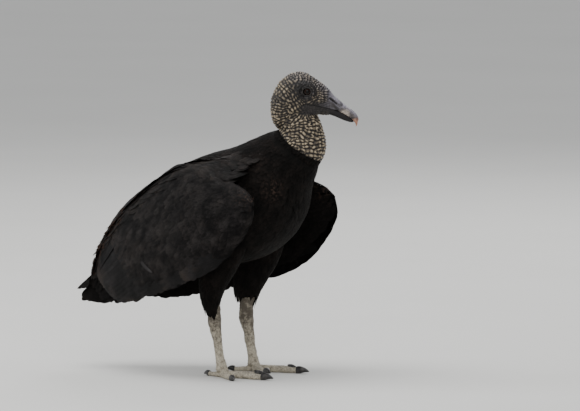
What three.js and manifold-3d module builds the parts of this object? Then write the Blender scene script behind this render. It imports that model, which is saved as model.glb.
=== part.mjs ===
// A black vulture (Coragyps atratus), life size, standing still with drooped wings and its head turned to its left.
// Millimetres. +X is where the breast points, +Y the bird's left, +Z up. The floor is z = 0, and the origin lies on
// it under the middle of the bird's box. Solids of the feathered parts reach out to the tips of the feathers.
import * as THREE from "three";
import { mergeVertices } from "three/addons/utils/BufferGeometryUtils.js";
import Module from "manifold-3d";

const wasm = await Module();
wasm.setup();

// Driving dimensions.
const GAP = 0.3; // clear space between neighbouring parts
const HEAD_TURN = 30; // degrees that the head looks to the bird's left
const NECK_AXIS_X = 104; // the upright line that the head turns about
const FOOT_APART = 45; // each foot's distance from the middle plane
const RIGHT_LEG_AHEAD = 3; // how much further forwards the right leg stands
const EYE = { h: 6.5, w: 14.6, z: 387.5, r: 7 };
const FOOT_HEIGHT = 12; // height of the joint where the toes start
const LEFT_WING_SAG = 13; // how much lower the left wing hangs in the middle
const LEFT_WING_IN = 5; // how much closer to the body the left wing's edge is held
const LEFT_THIGH_FLUFF = 5; // how much the left thigh's feathers puff forwards

// ---------- Shapes ----------

const vec = (x, y, z) => new THREE.Vector3(x, y, z);

// A closed skin over rings of points, each end drawn together in one point.
function skin(rings, start, end) {
  const around = rings[0].length;
  const points = [start, ...rings.flat(), end];
  const last = points.length - 1;
  const at = (ring, k) => 1 + ring * around + (k % around);
  const faces = [];
  for (let k = 0; k < around; k++) {
    faces.push(0, at(0, k + 1), at(0, k));
    faces.push(last, at(rings.length - 1, k), at(rings.length - 1, k + 1));
    for (let ring = 0; ring + 1 < rings.length; ring++) {
      faces.push(at(ring, k), at(ring, k + 1), at(ring + 1, k));
      faces.push(at(ring, k + 1), at(ring + 1, k + 1), at(ring + 1, k));
    }
  }
  const geometry = new THREE.BufferGeometry();
  geometry.setAttribute("position", new THREE.Float32BufferAttribute(points.flatMap((p) => p.toArray()), 3));
  geometry.setIndex(faces);
  return geometry;
}

// A stock shape with nothing but its places, so that its corners can be merged.
const bare = (geometry) => geometry.deleteAttribute("normal").deleteAttribute("uv");

// A solid for cutting and joining, turned right side out.
function solid(geometry) {
  const merged = mergeVertices(geometry, 1e-3);
  const triVerts = new Uint32Array(merged.index.array);
  const make = (tris) =>
    new wasm.Manifold(
      new wasm.Mesh({ numProp: 3, vertProperties: merged.attributes.position.array, triVerts: tris }),
    );
  const made = make(triVerts);
  return made.volume() > 0 ? made : make(triVerts.reverse());
}

// The named mesh of a finished solid. Where cuts left crumbs, the largest piece is the part.
function mesh(name, body, material) {
  const whole = body.decompose().sort((a, b) => b.volume() - a.volume())[0];
  const { numProp, numVert, vertProperties, triVerts } = whole.getMesh();
  const places = new Float32Array(numVert * 3);
  for (let i = 0; i < numVert; i++) places.set(vertProperties.subarray(i * numProp, i * numProp + 3), i * 3);
  const geometry = new THREE.BufferGeometry();
  geometry.setAttribute("position", new THREE.BufferAttribute(places, 3));
  geometry.setIndex(new THREE.BufferAttribute(triVerts, 1));
  geometry.computeVertexNormals();
  const made = new THREE.Mesh(geometry, material);
  made.name = name;
  return made;
}

// A smooth curve through a value that each slice holds, read by the share of the way along the slices.
function along(slices, read) {
  const curve = new THREE.CatmullRomCurve3(slices.map((s) => vec(...read(s))), false, "centripetal");
  return (share) => curve.getPoint(share);
}

// A body drawn through slices. Each has its top and its under point in the middle plane (x, z), half its width, and
// the degrees it is turned about the neck's upright line. grow swells it all round, for a cutter.
function body(slices, rings, around, grow = 0) {
  const top = along(slices, (s) => [s.top[0], 0, s.top[1]]);
  const under = along(slices, (s) => [s.under[0], 0, s.under[1]]);
  const width = along(slices, (s) => [s.half, s.turn ?? 0, s.square ?? 2]);
  const loops = [];
  for (let i = 0; i <= rings; i++) {
    const share = i / rings;
    const t = top(share);
    const b = under(share);
    const { x: half, y: turn, z: square } = width(share);
    const middle = t.clone().add(b).multiplyScalar(0.5);
    const up = t.clone().sub(b).multiplyScalar(0.5);
    up.setLength(up.length() + grow);
    const loop = [];
    for (let k = 0; k < around; k++) {
      const angle = (2 * Math.PI * k) / around;
      const c = Math.cos(angle);
      const s = Math.sin(angle);
      const across = Math.sign(c) * Math.abs(c) ** (2 / square) * (half + grow);
      const p = middle.clone().addScaledVector(up, Math.sign(s) * Math.abs(s) ** (2 / square));
      p.y += across;
      loop.push(turned(p, turn));
    }
    loops.push(loop);
  }
  const ends = [0, rings].map((i) => {
    const middle = loops[i].reduce((sum, p) => sum.add(p), vec(0, 0, 0)).divideScalar(around);
    return middle;
  });
  return solid(skin(loops, ends[0], ends[1]));
}

// A point turned about the neck's upright line.
function turned(p, degrees) {
  const a = (degrees * Math.PI) / 180;
  const x = p.x - NECK_AXIS_X;
  return vec(NECK_AXIS_X + x * Math.cos(a) - p.y * Math.sin(a), x * Math.sin(a) + p.y * Math.cos(a), p.z);
}

// ---------- Body, neck and head: slices from back to front ----------

const TRUNK = [
  { top: [-174, 180], under: [-165, 164], half: 5 },
  { top: [-171, 196], under: [-149, 152], half: 17 },
  { top: [-157, 213], under: [-126, 141], half: 31 },
  { top: [-136, 236], under: [-92, 137], half: 41, square: 2.2 },
  { top: [-106, 260], under: [-48, 141], half: 52, square: 2.4 },
  { top: [-68, 284], under: [3, 149], half: 63, square: 2.5 },
  { top: [-28, 299.5], under: [46, 163], half: 70, square: 2.5 },
  { top: [6, 309], under: [79, 188], half: 70, square: 2.4 },
  { top: [32, 320], under: [99, 216], half: 62, square: 2.2 },
  { top: [52, 328.5], under: [109, 246], half: 50 },
  { top: [64, 333], under: [119, 269], half: 39 },
  { top: [70, 335], under: [129, 288], half: 31, turn: 8 },
];

const HEAD = [
  { top: [62.4, 370.5], under: [62.4, 361.5], half: 4 },
  { top: [64, 379], under: [63.6, 351.5], half: 11 },
  { top: [68, 388.5], under: [67, 342.5], half: 17 },
  { top: [75.5, 400], under: [74, 336.5], half: 21.5 },
  { top: [85, 408.5], under: [84, 337.5], half: 23 },
  { top: [98, 413], under: [97, 343.5], half: 23.5 },
  { top: [110, 411.5], under: [110, 348.5], half: 21.5 },
  { top: [120, 405.5], under: [119, 353], half: 18 },
  { top: [129, 399], under: [128, 356], half: 14 },
  { top: [137, 393], under: [135, 357], half: 11.3 },
  { top: [144, 385], under: [142, 356.5], half: 9.8 },
  { top: [150, 378.5], under: [149, 354], half: 8.8 },
].map((s) => ({ ...s, turn: HEAD_TURN }));

const NECK = [
  { top: [60, 328], under: [118, 276], half: 28, turn: 6 },
  { top: [70, 334], under: [130, 292], half: 28, turn: 14 },
  { top: [75, 337.5], under: [136, 307.5], half: 26, turn: 20 },
  { top: [72.5, 341.5], under: [136, 321.5], half: 25, turn: 25 },
  { top: [70.5, 348.5], under: [132, 335.5], half: 23.5, turn: 29 },
  { top: [73, 358.5], under: [128.5, 347.5], half: 21, turn: HEAD_TURN },
  { top: [80, 368.5], under: [122, 358.5], half: 17, turn: HEAD_TURN },
];

// ---------- Bill: the horn beyond the bare skin of the face ----------

const BILL_UPPER = [
  { top: [150.4, 378.5], under: [148.8, 361.1], half: 8.7 },
  { top: [158, 372], under: [155, 359.1], half: 8 },
  { top: [166, 365.5], under: [162, 355.7], half: 7.2 },
  { top: [172.5, 360.5], under: [167.5, 352.2], half: 6.3 },
  { top: [177.5, 355], under: [171.3, 349], half: 5.1 },
  { top: [179.6, 348.5], under: [174.3, 346.1], half: 3.4 },
  { top: [179, 343.5], under: [176.2, 342.7], half: 1.9 },
  { top: [177.6, 339.9], under: [176.8, 339.7], half: 0.7 },
].map((s) => ({ ...s, turn: HEAD_TURN }));

const BILL_LOWER = [
  { top: [149, 360.5], under: [148.2, 352.9], half: 7.6 },
  { top: [155, 358.5], under: [154.4, 350.1], half: 6.8 },
  { top: [162, 355.1], under: [161.6, 347.1], half: 5.8 },
  { top: [167.2, 351.5], under: [167.2, 345.3], half: 4.5 },
  { top: [170.6, 348.3], under: [171.4, 344.7], half: 2.6 },
].map((s) => ({ ...s, turn: HEAD_TURN }));

// ---------- Wings: slices from the wrist back to the tips of the inner flight feathers ----------

// top and edge are the upper border and the hanging lower border of the right wing; thick is the depth of bone, flesh
// and feathers between its two faces; bulge is how far its outer face swells.
const WING = [
  { top: [92, -108, 243], edge: [94, -112, 236], thick: 5, bulge: 0 },
  { top: [84, -101, 252], edge: [95, -115, 230], thick: 13, bulge: 2 },
  { top: [60, -88, 262], edge: [95, -118, 221], thick: 20, bulge: 5 },
  { top: [25, -70, 270], edge: [87, -120, 204], thick: 24, bulge: 9 },
  { top: [-16, -58, 283], edge: [72, -121, 184], thick: 25, bulge: 13 },
  { top: [-56, -46, 282], edge: [49, -121, 162], thick: 23, bulge: 15 },
  { top: [-94, -38, 262], edge: [18, -118, 144], thick: 19, bulge: 15 },
  { top: [-129, -33, 239], edge: [-19, -110, 131], thick: 15, bulge: 13 },
  { top: [-160, -29, 213], edge: [-60, -98, 117], thick: 12, bulge: 11 },
  { top: [-186, -26, 182], edge: [-99, -84, 105], thick: 9, bulge: 8 },
  { top: [-202, -25, 154], edge: [-137, -68, 99], thick: 6.5, bulge: 5 },
  { top: [-207, -25, 135], edge: [-166, -54, 100], thick: 4, bulge: 2 },
];

// The long outer flight feathers, folded under the wing and showing beyond it. Slices as in the wing.
const PRIMARIES = [
  { top: [-120, -31, 205], edge: [-75, -62, 150], thick: 3, bulge: 2 },
  { top: [-160, -23, 172], edge: [-118, -50, 124], thick: 3, bulge: 2 },
  { top: [-195, -19, 141], edge: [-158, -40, 103], thick: 2.6, bulge: 1.5 },
  { top: [-220, -18, 112], edge: [-196, -32, 91], thick: 2.2, bulge: 1 },
  { top: [-232, -20, 97], edge: [-221, -26, 89], thick: 1.6, bulge: 0.3 },
];

// A wing-like blade through its slices. side is -1 for the right and 1 for the left.
function blade(slices, side, rings, across, grow = 0) {
  const own = side > 0 && slices === WING;
  const sag = own ? LEFT_WING_SAG : 0;
  const inwards = own ? LEFT_WING_IN : 0;
  const top = along(slices, (s) => s.top);
  const edge = along(slices, (s) => s.edge);
  const form = along(slices, (s) => [s.thick, s.bulge, 0]);
  const loops = [];
  for (let i = 0; i <= rings; i++) {
    const share = i / rings;
    const t = top(share);
    const e = edge(share);
    e.z -= sag * Math.sin(Math.PI * share);
    t.z -= (sag / 4) * (1 - share);
    e.y += inwards;
    t.y += inwards * (1 - share);
    const { x: thick, y: bulge } = form(share);
    const ahead = along_direction(top, edge, share);
    const down = e.clone().sub(t);
    const out = ahead.clone().cross(down).normalize();
    const spread = down.clone().normalize().multiplyScalar(grow);
    t.sub(spread);
    e.add(spread);
    const face = (q, way) => {
      const depth = (thick / 2) * Math.sqrt(Math.max(0, 1 - Math.abs(2 * q - 0.9) ** 3 / 1.34)) + grow;
      return t
        .clone()
        .lerp(e, q)
        .addScaledVector(out, bulge * 4 * q * (1 - q) + way * depth);
    };
    const loop = [];
    for (let k = 0; k <= across; k++) loop.push(face(k / across, 1));
    for (let k = across; k >= 0; k--) loop.push(face(k / across, -1));
    loops.push(loop.map((p) => vec(p.x, -side * p.y, p.z)));
  }
  const middle = (loop) => loop.reduce((sum, p) => sum.add(p), vec(0, 0, 0)).divideScalar(loop.length);
  return solid(skin(loops, middle(loops[0]), middle(loops[rings])));
}

// The way from the front of a blade to its tips, at a share of its length.
function along_direction(top, edge, share) {
  const a = Math.max(0, share - 0.04);
  const b = Math.min(1, share + 0.04);
  const middle = (s) => top(s).clone().add(edge(s)).multiplyScalar(0.5);
  return middle(b).sub(middle(a)).normalize();
}

// ---------- Tail: twelve long feathers closed to a narrow fan ----------

const TAIL = { root: [-138, 192], tip: [-241, 102], rootHalf: 17, tipHalf: 31, thick: 5, crown: 5 };

function tail(grow = 0) {
  const loops = [];
  const rings = 6;
  const across = 8;
  for (let i = 0; i <= rings; i++) {
    const share = i / rings;
    const half = THREE.MathUtils.lerp(TAIL.rootHalf, TAIL.tipHalf, share) + grow;
    const depth = THREE.MathUtils.lerp(TAIL.thick, TAIL.thick * 0.4, share) / 2 + grow;
    const loop = [];
    const at = (q, way) => {
      const y = (2 * q - 1) * half;
      const round = 1 - (y / half) ** 2;
      const x = THREE.MathUtils.lerp(TAIL.root[0], TAIL.tip[0], share) + (1 - round) * share ** 4 * 9;
      const z = THREE.MathUtils.lerp(TAIL.root[1], TAIL.tip[1], share) + (1 - round) * share ** 4 * 8;
      return vec(x - 0.66 * way * depth, y, z + TAIL.crown * (round - 1) * 0.6 + 0.75 * way * depth);
    };
    for (let k = 0; k <= across; k++) loop.push(at(k / across, 1));
    for (let k = across; k >= 0; k--) loop.push(at(k / across, -1));
    loops.push(loop);
  }
  const middle = (loop) => loop.reduce((sum, p) => sum.add(p), vec(0, 0, 0)).divideScalar(loop.length);
  return solid(skin(loops, middle(loops[0]), middle(loops[rings])));
}

// ---------- Legs: a feathered thigh, a bare shank and four toes with claws on each side ----------

// Slices of a limb: its middle line, and its half sizes fore-and-aft and across.
const THIGH = [
  { at: [18, 50, 190], fore: 22, side: 15 },
  { at: [9, 50, 170], fore: 31, side: 19 },
  { at: [-1, 49, 145], fore: 27, side: 19.5 },
  { at: [-9, 48, 124], fore: 20, side: 18 },
  { at: [-13, 47, 106], fore: 14.5, side: 15 },
  { at: [-12, 46.5, 91], fore: 11, side: 11.5 },
  { at: [-9.5, 45.5, 79], fore: 9.2, side: 9.2 },
];
const SHANK = [
  { at: [-9, 45, 78.4], fore: 8.5, side: 7.5 },
  { at: [-8.5, 45, 72], fore: 9, side: 8 },
  { at: [-7, 45, 64], fore: 8, side: 7 },
  { at: [-4, 45, 48], fore: 6.2, side: 5.2 },
  { at: [-1, 45, 30], fore: 6, side: 5.2 },
  { at: [2, 45, FOOT_HEIGHT + 5], fore: 7, side: 7.4 },
  { at: [3, 45, FOOT_HEIGHT - 3], fore: 8.5, side: 9.5 },
];

// Each toe: the way it points, in degrees outwards from straight ahead, its length, its thickness at the root, the
// number of pads and how long its claw is.
const TOES = {
  middle: { way: 4, long: 66, thick: 11.4, pads: 3, claw: 16 },
  inner: { way: -38, long: 43, thick: 10.4, pads: 2, claw: 15 },
  outer: { way: 44, long: 47, thick: 9.6, pads: 4, claw: 12 },
  hind: { way: 200, long: 24, thick: 8.4, pads: 1, claw: 11 },
};

// A limb through its slices, side -1 for the right and 1 for the left.
function limb(slices, side, rings, around, grow = 0, fluff = 0) {
  const line = along(slices, (s) => [s.at[0] + (side < 0 ? RIGHT_LEG_AHEAD : 0), s.at[1], s.at[2]]);
  const size = along(slices, (s) => [s.fore, s.side, 0]);
  const loops = [];
  for (let i = 0; i <= rings; i++) {
    const middle = line(i / rings);
    const puff = fluff * Math.sin((Math.PI * i) / rings);
    middle.x += puff;
    const fore = size(i / rings).x + puff;
    const across = size(i / rings).y;
    const loop = [];
    for (let k = 0; k < around; k++) {
      const angle = (2 * Math.PI * k) / around;
      loop.push(
        vec(middle.x + (fore + grow) * Math.cos(angle), side * (middle.y + (across + grow) * Math.sin(angle)), middle.z),
      );
    }
    loops.push(loop);
  }
  const ends = [line(0), line(1)].map((p, i) => vec(p.x, side * p.y, p.z + (i ? -grow : grow)));
  return solid(skin(loops, ends[0], ends[1]));
}

// A toe or a claw: a round taper whose middle height and thickness follow functions of the share of its length.
function taper(start, way, long, height, thick, rings, around) {
  const ahead = vec(Math.cos(way), Math.sin(way), 0);
  const aside = vec(-Math.sin(way), Math.cos(way), 0);
  const loops = [];
  for (let i = 0; i <= rings; i++) {
    const share = i / rings;
    const middle = start.clone().addScaledVector(ahead, long * share);
    middle.z = height(share);
    const half = thick(share) / 2;
    const loop = [];
    for (let k = 0; k < around; k++) {
      const angle = (2 * Math.PI * k) / around;
      loop.push(
        middle
          .clone()
          .addScaledVector(aside, half * Math.cos(angle))
          .add(vec(0, 0, half * Math.sin(angle))),
      );
    }
    loops.push(loop);
  }
  const point = start.clone().addScaledVector(ahead, long * 1.02);
  point.z = height(1) - (height(0.9) - height(1)) * 0.2;
  const back = start.clone();
  back.z = height(0);
  return solid(skin(loops, back, point));
}

// ---------- The parts ----------

const finish = (colour, roughness) => new THREE.MeshStandardMaterial({ color: colour, roughness, metalness: 0 });
const PLUMAGE = finish("#141312", 0.8);
const BARE_SKIN = finish("#5c554f", 0.7);
const HORN = finish("#6d6864", 0.45);
const SHANK_SKIN = finish("#a7a29a", 0.75);
const CLAW_HORN = finish("#24211f", 0.4);
const EYE_DARK = finish("#2a160c", 0.1);

const parts = new THREE.Group();
const add = (name, body, material) => parts.add(mesh(name, body, material));

// The floor cuts every toe flat.
const floor = solid(bare(new THREE.BoxGeometry(900, 900, 60).translate(0, 0, -30)));

const sides = { right: -1, left: 1 };

let trunk = body(TRUNK, 19, 22);
let neck = body(NECK, 9, 18);
let head = body(HEAD, 17, 20);
const trunkCutter = body(TRUNK, 19, 22, GAP);

const headCutter = body(HEAD, 17, 20, GAP);
neck = neck.subtract(headCutter).subtract(trunkCutter);
let fan = tail().subtract(trunkCutter);
const fanCutter = tail(GAP);

for (const [name, side] of Object.entries(sides)) {
  const wing = blade(WING, side, 17, 6);
  const wingCutter = blade(WING, side, 17, 6, GAP);
  const primaries = blade(PRIMARIES, side, 7, 4);
  add(`wing_${name}`, wing, PLUMAGE);
  add(`primaries_${name}`, primaries.subtract(wingCutter).subtract(trunkCutter).subtract(fanCutter), PLUMAGE);

  const fluff = side > 0 ? LEFT_THIGH_FLUFF : 0;
  const thighCutter = limb(THIGH, side, 9, 14, GAP, fluff);
  add(`thigh_${name}`, limb(THIGH, side, 9, 14, 0, fluff).subtract(wingCutter), PLUMAGE);
  trunk = trunk.subtract(wingCutter).subtract(thighCutter);
  neck = neck.subtract(wingCutter);
  fan = fan.subtract(wingCutter);

  const shank = limb(SHANK, side, 9, 10);
  let footCutter = limb(SHANK, side, 9, 10, GAP);
  for (const [toe, spec] of Object.entries(TOES)) {
    const way = (side * spec.way * Math.PI) / 180;
    const heel = 3 + (side < 0 ? RIGHT_LEG_AHEAD : 0);
    const root = vec(heel + 4 * Math.cos(way), side * FOOT_APART + 4 * Math.sin(way), 0);
    const pads = (share) => 0.93 + 0.07 * Math.cos(2 * Math.PI * spec.pads * share);
    const thickness = (share) => spec.thick * (1 - 0.33 * share) * pads(share);
    const height = (share) => spec.thick * 0.42 * (1 - 0.25 * share);
    const made = taper(root, way, spec.long, height, thickness, 6, 8).subtract(floor);
    const clawRoot = root.clone().add(vec(Math.cos(way), Math.sin(way), 0).multiplyScalar(spec.long * 0.96));
    const clawHeight = (share) => spec.thick * 0.34 + 1.6 * Math.sin(Math.PI * share * 0.75) - 1.8 * share ** 2;
    const clawThick = (share) => spec.thick * 0.5 * (1 - share) ** 0.8 + 0.6;
    const claw = taper(clawRoot, way, spec.claw, clawHeight, clawThick, 4, 6).subtract(floor);
    const toeCutter = taper(root, way, spec.long, height, (s) => thickness(s) + 2 * GAP, 6, 8);
    add(`toe_${toe}_${name}`, made.subtract(footCutter), SHANK_SKIN);
    add(`claw_${toe}_${name}`, claw.subtract(toeCutter), CLAW_HORN);
    footCutter = footCutter.add(toeCutter);
  }
  add(`shank_${name}`, shank.subtract(thighCutter).subtract(floor), SHANK_SKIN);

  const eyePlace = turned(vec(NECK_AXIS_X + EYE.h, side * EYE.w, EYE.z), HEAD_TURN);
  const ball = (radius) => solid(bare(new THREE.SphereGeometry(radius, 14, 8).translate(...eyePlace.toArray())));
  add(`eye_${name}`, ball(EYE.r), EYE_DARK);
  head = head.subtract(ball(EYE.r + GAP));
}

add("tail", fan, PLUMAGE);
add("trunk", trunk, PLUMAGE);
add("neck", neck, BARE_SKIN);
add("head", head, BARE_SKIN);
add("bill_upper", body(BILL_UPPER, 12, 12).subtract(headCutter), HORN);
add("bill_lower", body(BILL_LOWER, 7, 10).subtract(headCutter), HORN);

// The origin goes on the floor under the middle of the bird's box.
const middle = new THREE.Box3().setFromObject(parts).getCenter(vec(0, 0, 0));
for (const part of parts.children) part.geometry.translate(-middle.x, -middle.y, 0);

export default parts;
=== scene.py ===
import math

import bpy
import numpy as np
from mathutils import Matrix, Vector
from mathutils.kdtree import KDTree


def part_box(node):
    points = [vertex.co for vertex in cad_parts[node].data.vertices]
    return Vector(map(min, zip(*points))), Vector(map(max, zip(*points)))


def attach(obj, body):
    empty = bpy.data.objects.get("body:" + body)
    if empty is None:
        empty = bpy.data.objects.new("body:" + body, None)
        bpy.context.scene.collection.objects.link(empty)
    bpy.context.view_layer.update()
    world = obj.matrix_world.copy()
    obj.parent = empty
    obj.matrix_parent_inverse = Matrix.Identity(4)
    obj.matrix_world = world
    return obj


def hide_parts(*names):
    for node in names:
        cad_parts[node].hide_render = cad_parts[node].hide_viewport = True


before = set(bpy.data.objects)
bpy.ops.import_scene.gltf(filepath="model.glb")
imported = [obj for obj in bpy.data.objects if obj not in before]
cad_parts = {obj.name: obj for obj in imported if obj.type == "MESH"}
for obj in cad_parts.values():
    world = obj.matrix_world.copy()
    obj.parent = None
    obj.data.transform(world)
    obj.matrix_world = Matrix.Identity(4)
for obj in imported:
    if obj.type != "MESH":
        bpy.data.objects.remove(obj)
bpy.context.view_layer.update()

# ---------- Floor, lights and camera ----------
# A plain pale studio floor that runs far behind the bird, soft light from large panels, and a long lens
# some way off that looks slightly down on a bird turned a third of the way towards it.


def linear(hex_colour):
    """The linear colour of an sRGB hex value."""
    values = [int(hex_colour[i:i + 2], 16) / 255 for i in (1, 3, 5)]
    return tuple(v / 12.92 if v <= 0.04045 else ((v + 0.055) / 1.055) ** 2.4 for v in values) + (1.0,)


def node(tree, kind, inputs=None, output=0, **settings):
    """Adds a shader node. Each input is a value, a hex colour or a node's output; gives one output."""
    made = tree.nodes.new(kind)
    for key, value in settings.items():
        setattr(made, key, value)
    for key, value in (inputs or {}).items():
        if isinstance(value, bpy.types.NodeSocket):
            tree.links.new(value, made.inputs[key])
        else:
            made.inputs[key].default_value = linear(value) if isinstance(value, str) else value
    return made.outputs[output]


def finish(name, colour, roughness, lumps=None, lump_mm=0.2, lump_strength=0.7, **shader_values):
    """A material: colour and lumps are functions that add nodes to its tree and give a socket."""
    material = bpy.data.materials.new(name)
    material.use_nodes = True
    tree = material.node_tree
    shader = tree.nodes["Principled BSDF"]
    tree.links.new(colour(tree), shader.inputs["Base Color"])
    shader.inputs["Roughness"].default_value = roughness
    for key, value in shader_values.items():
        shader.inputs[key.replace("_", " ").title().replace("Ior", "IOR")].default_value = value
    if lumps:
        bumped = node(tree, "ShaderNodeBump", {"Distance": lump_mm / 1000, "Strength": lump_strength,
                                               "Height": lumps(tree)})
        tree.links.new(bumped, shader.inputs["Normal"])
    return material


# Matt emulsion paint, rolled on: no gloss at all, and a faint unevenness in its tone.
def floor_colour(tree):
    place = node(tree, "ShaderNodeTexCoord", output="Object")
    cloudy = node(tree, "ShaderNodeTexNoise", {"Vector": place, "Scale": 3.0, "Detail": 3.0})
    return node(tree, "ShaderNodeMix", {0: cloudy, 6: "#D6D5D1", 7: "#DDDCD8"}, 2, data_type="RGBA")


FLOOR_SIZE = 80.0  # metres
bpy.ops.mesh.primitive_plane_add(size=FLOOR_SIZE, location=(0, 0, 0))
floor = bpy.context.object
floor.name = "studio_floor"
floor.data.materials.append(finish("matt_pale_floor_paint", floor_colour, 0.9))

VIEW_TURN, VIEW_DOWN = math.radians(30), math.radians(5)
VIEW_DISTANCE, FARTHEST = 14.0, 200.0  # metres
PICTURE_WIDTH = 0.783  # metres across the picture at the bird
SENSOR_WIDTH = 36.0  # millimetres
AIM = Vector((0.0902, 0.0565, 0.2266))
back = Vector((math.sin(VIEW_TURN) * math.cos(VIEW_DOWN), -math.cos(VIEW_TURN) * math.cos(VIEW_DOWN),
               math.sin(VIEW_DOWN)))
camera = bpy.data.objects.new("camera", bpy.data.cameras.new("camera"))
camera.location = AIM + back * VIEW_DISTANCE
camera.rotation_euler = back.to_track_quat("Z", "Y").to_euler()
camera.data.sensor_width = SENSOR_WIDTH
camera.data.lens = SENSOR_WIDTH * VIEW_DISTANCE / PICTURE_WIDTH
camera.data.clip_end = FARTHEST
bpy.context.collection.objects.link(camera)
bpy.context.scene.camera = camera

# Panels: name, place, size in metres and power in watts. All are aimed at the bird's belly.
BELLY = Vector((0, 0, 0.22))
PANELS = (
    ("overhead_panel", (-0.5, -0.4, 2.6), 2.2, 50),
    ("front_panel", (1.9, -2.6, 1.9), 1.6, 34),
    ("left_panel", (-2.6, -1.2, 1.7), 1.6, 22),
    ("rim_panel", (-0.6, 2.6, 2.0), 1.4, 30),
)
for name, place, size, watts in PANELS:
    light = bpy.data.objects.new(name, bpy.data.lights.new(name, "AREA"))
    light.data.size = size
    light.data.energy = watts
    light.location = place
    light.rotation_euler = (Vector(place) - BELLY).to_track_quat("Z", "Y").to_euler()
    bpy.context.collection.objects.link(light)
ROOM_COLOUR, ROOM_STRENGTH = "#EDEFF2", 0.75
world = bpy.data.worlds.new("soft_room")
bpy.context.scene.world = world
world.use_nodes = True
world.node_tree.nodes["Background"].inputs["Color"].default_value = linear(ROOM_COLOUR)
world.node_tree.nodes["Background"].inputs["Strength"].default_value = ROOM_STRENGTH

# ---------- Skin ----------
# The bird's own hide: one closed skin over trunk, neck, head, wing arms, thighs, shanks and toes. It lies
# under the feathers by their depth, and is bare, folded and warty on the head and neck and scaly on the
# legs.

# Lengths here and below are millimetres from the ground point between the feet, which put() moves to the
# frame.
HEAD_TURN = 30.0
NECK_AXIS_X = 104.0
EYE_PLACE = (6.5, 14.6, 387.5)  # ahead of the neck's axis, out from the head's middle, up
EYE_RADIUS = 7.0
FOOT_APART = 45.0
RIGHT_LEG_AHEAD = 3.0
LEFT_WING_SAG, LEFT_WING_IN, LEFT_THIGH_FLUFF = 13.0, 5.0, 5.0
SIDES = {"right": -1, "left": 1}

# Slices from back to front: top x, z, under x, z, half width, squareness, turn in degrees. The head's last
# three are the soft skin over the root of the upper bill.
TRUNK = (
    (-174, 180, -165, 164, 5, 2, 0), (-171, 196, -149, 152, 17, 2, 0), (-157, 213, -126, 141, 31, 2, 0),
    (-136, 236, -92, 137, 41, 2.2, 0), (-106, 260, -48, 141, 52, 2.4, 0), (-68, 284, 3, 149, 63, 2.5, 0),
    (-28, 299.5, 46, 163, 70, 2.5, 0), (6, 309, 79, 188, 70, 2.4, 0), (32, 320, 99, 216, 62, 2.2, 0),
    (52, 328.5, 109, 246, 50, 2, 0), (64, 333, 119, 269, 39, 2, 0), (70, 335, 129, 288, 31, 2, 8),
)
HEAD = tuple(row + (HEAD_TURN,) for row in (
    (62.4, 370.5, 62.4, 361.5, 4, 2), (64, 379, 63.6, 351.5, 11, 2), (68, 388.5, 67, 342.5, 17, 2),
    (75.5, 400, 74, 336.5, 21.5, 2), (85, 408.5, 84, 337.5, 23, 2), (98, 413, 97, 343.5, 23.5, 2),
    (110, 411.5, 110, 348.5, 21.5, 2), (120, 405.5, 119, 353, 18, 2), (129, 399, 128, 355.5, 14, 2),
    (137, 393, 135, 355, 11.3, 2.2), (144, 385, 142, 355.5, 9.8, 2.5), (150, 378.6, 148, 359, 9, 2.8),
    (153.5, 375.6, 151, 360, 8.5, 2.9), (157, 372.9, 154.5, 359.7, 8.2, 3),
    (159.8, 369.5, 157, 361, 6.6, 3),
))
NECK = (
    (60, 328, 118, 276, 28, 2, 6), (70, 334, 130, 292, 28, 2, 14), (75, 337.5, 136, 307.5, 26, 2, 20),
    (72.5, 341.5, 136, 321.5, 25, 2, 25), (70.5, 348.5, 132, 335.5, 23.5, 2, 29),
    (73, 358.5, 128.5, 347.5, 21, 2, 30), (80, 368.5, 122, 358.5, 17, 2, 30),
)
# Slices from the wrist back: upper border x, y, z, hanging border x, y, z, thickness, bulge.
WING = (
    (92, -108, 243, 94, -112, 236, 5, 0), (84, -101, 252, 95, -115, 230, 13, 2),
    (60, -88, 262, 95, -118, 221, 20, 5), (25, -70, 270, 87, -120, 204, 24, 9),
    (-16, -58, 283, 72, -121, 184, 25, 13), (-56, -46, 282, 49, -121, 162, 23, 15),
    (-94, -38, 262, 18, -118, 144, 19, 15), (-129, -33, 239, -19, -110, 131, 15, 13),
    (-160, -29, 213, -60, -98, 117, 12, 11), (-186, -26, 182, -99, -84, 105, 9, 8),
    (-202, -25, 154, -137, -68, 99, 6.5, 5), (-207, -25, 135, -166, -54, 100, 4, 2),
)
# Limb slices: middle x, y, z, half sizes fore-and-aft and across.
THIGH = (
    (18, 50, 190, 22, 15), (9, 50, 170, 31, 19), (-1, 49, 145, 27, 19.5), (-9, 48, 124, 20, 18),
    (-13, 47, 106, 14.5, 15), (-12, 46.5, 91, 11, 11.5), (-9.5, 45.5, 79, 9.2, 9.2),
)
SHANK = (
    (-9, 45, 100, 7.5, 6.8), (-8.5, 45, 72, 9, 8), (-7, 45, 64, 8, 7), (-4, 45, 48, 6.2, 5.2),
    (-1, 45, 30, 6, 5.2), (2, 45, 17, 7, 7.4), (3, 45, 9, 8.5, 9.5),
)
# Toe: degrees outwards from straight ahead, length, thickness at the root, pads, claw length.
TOES = {"middle": (4, 66, 11.4, 3, 16), "inner": (-38, 43, 10.4, 2, 15),
        "outer": (44, 47, 9.6, 4, 12), "hind": (200, 24, 8.4, 1, 11)}


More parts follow.
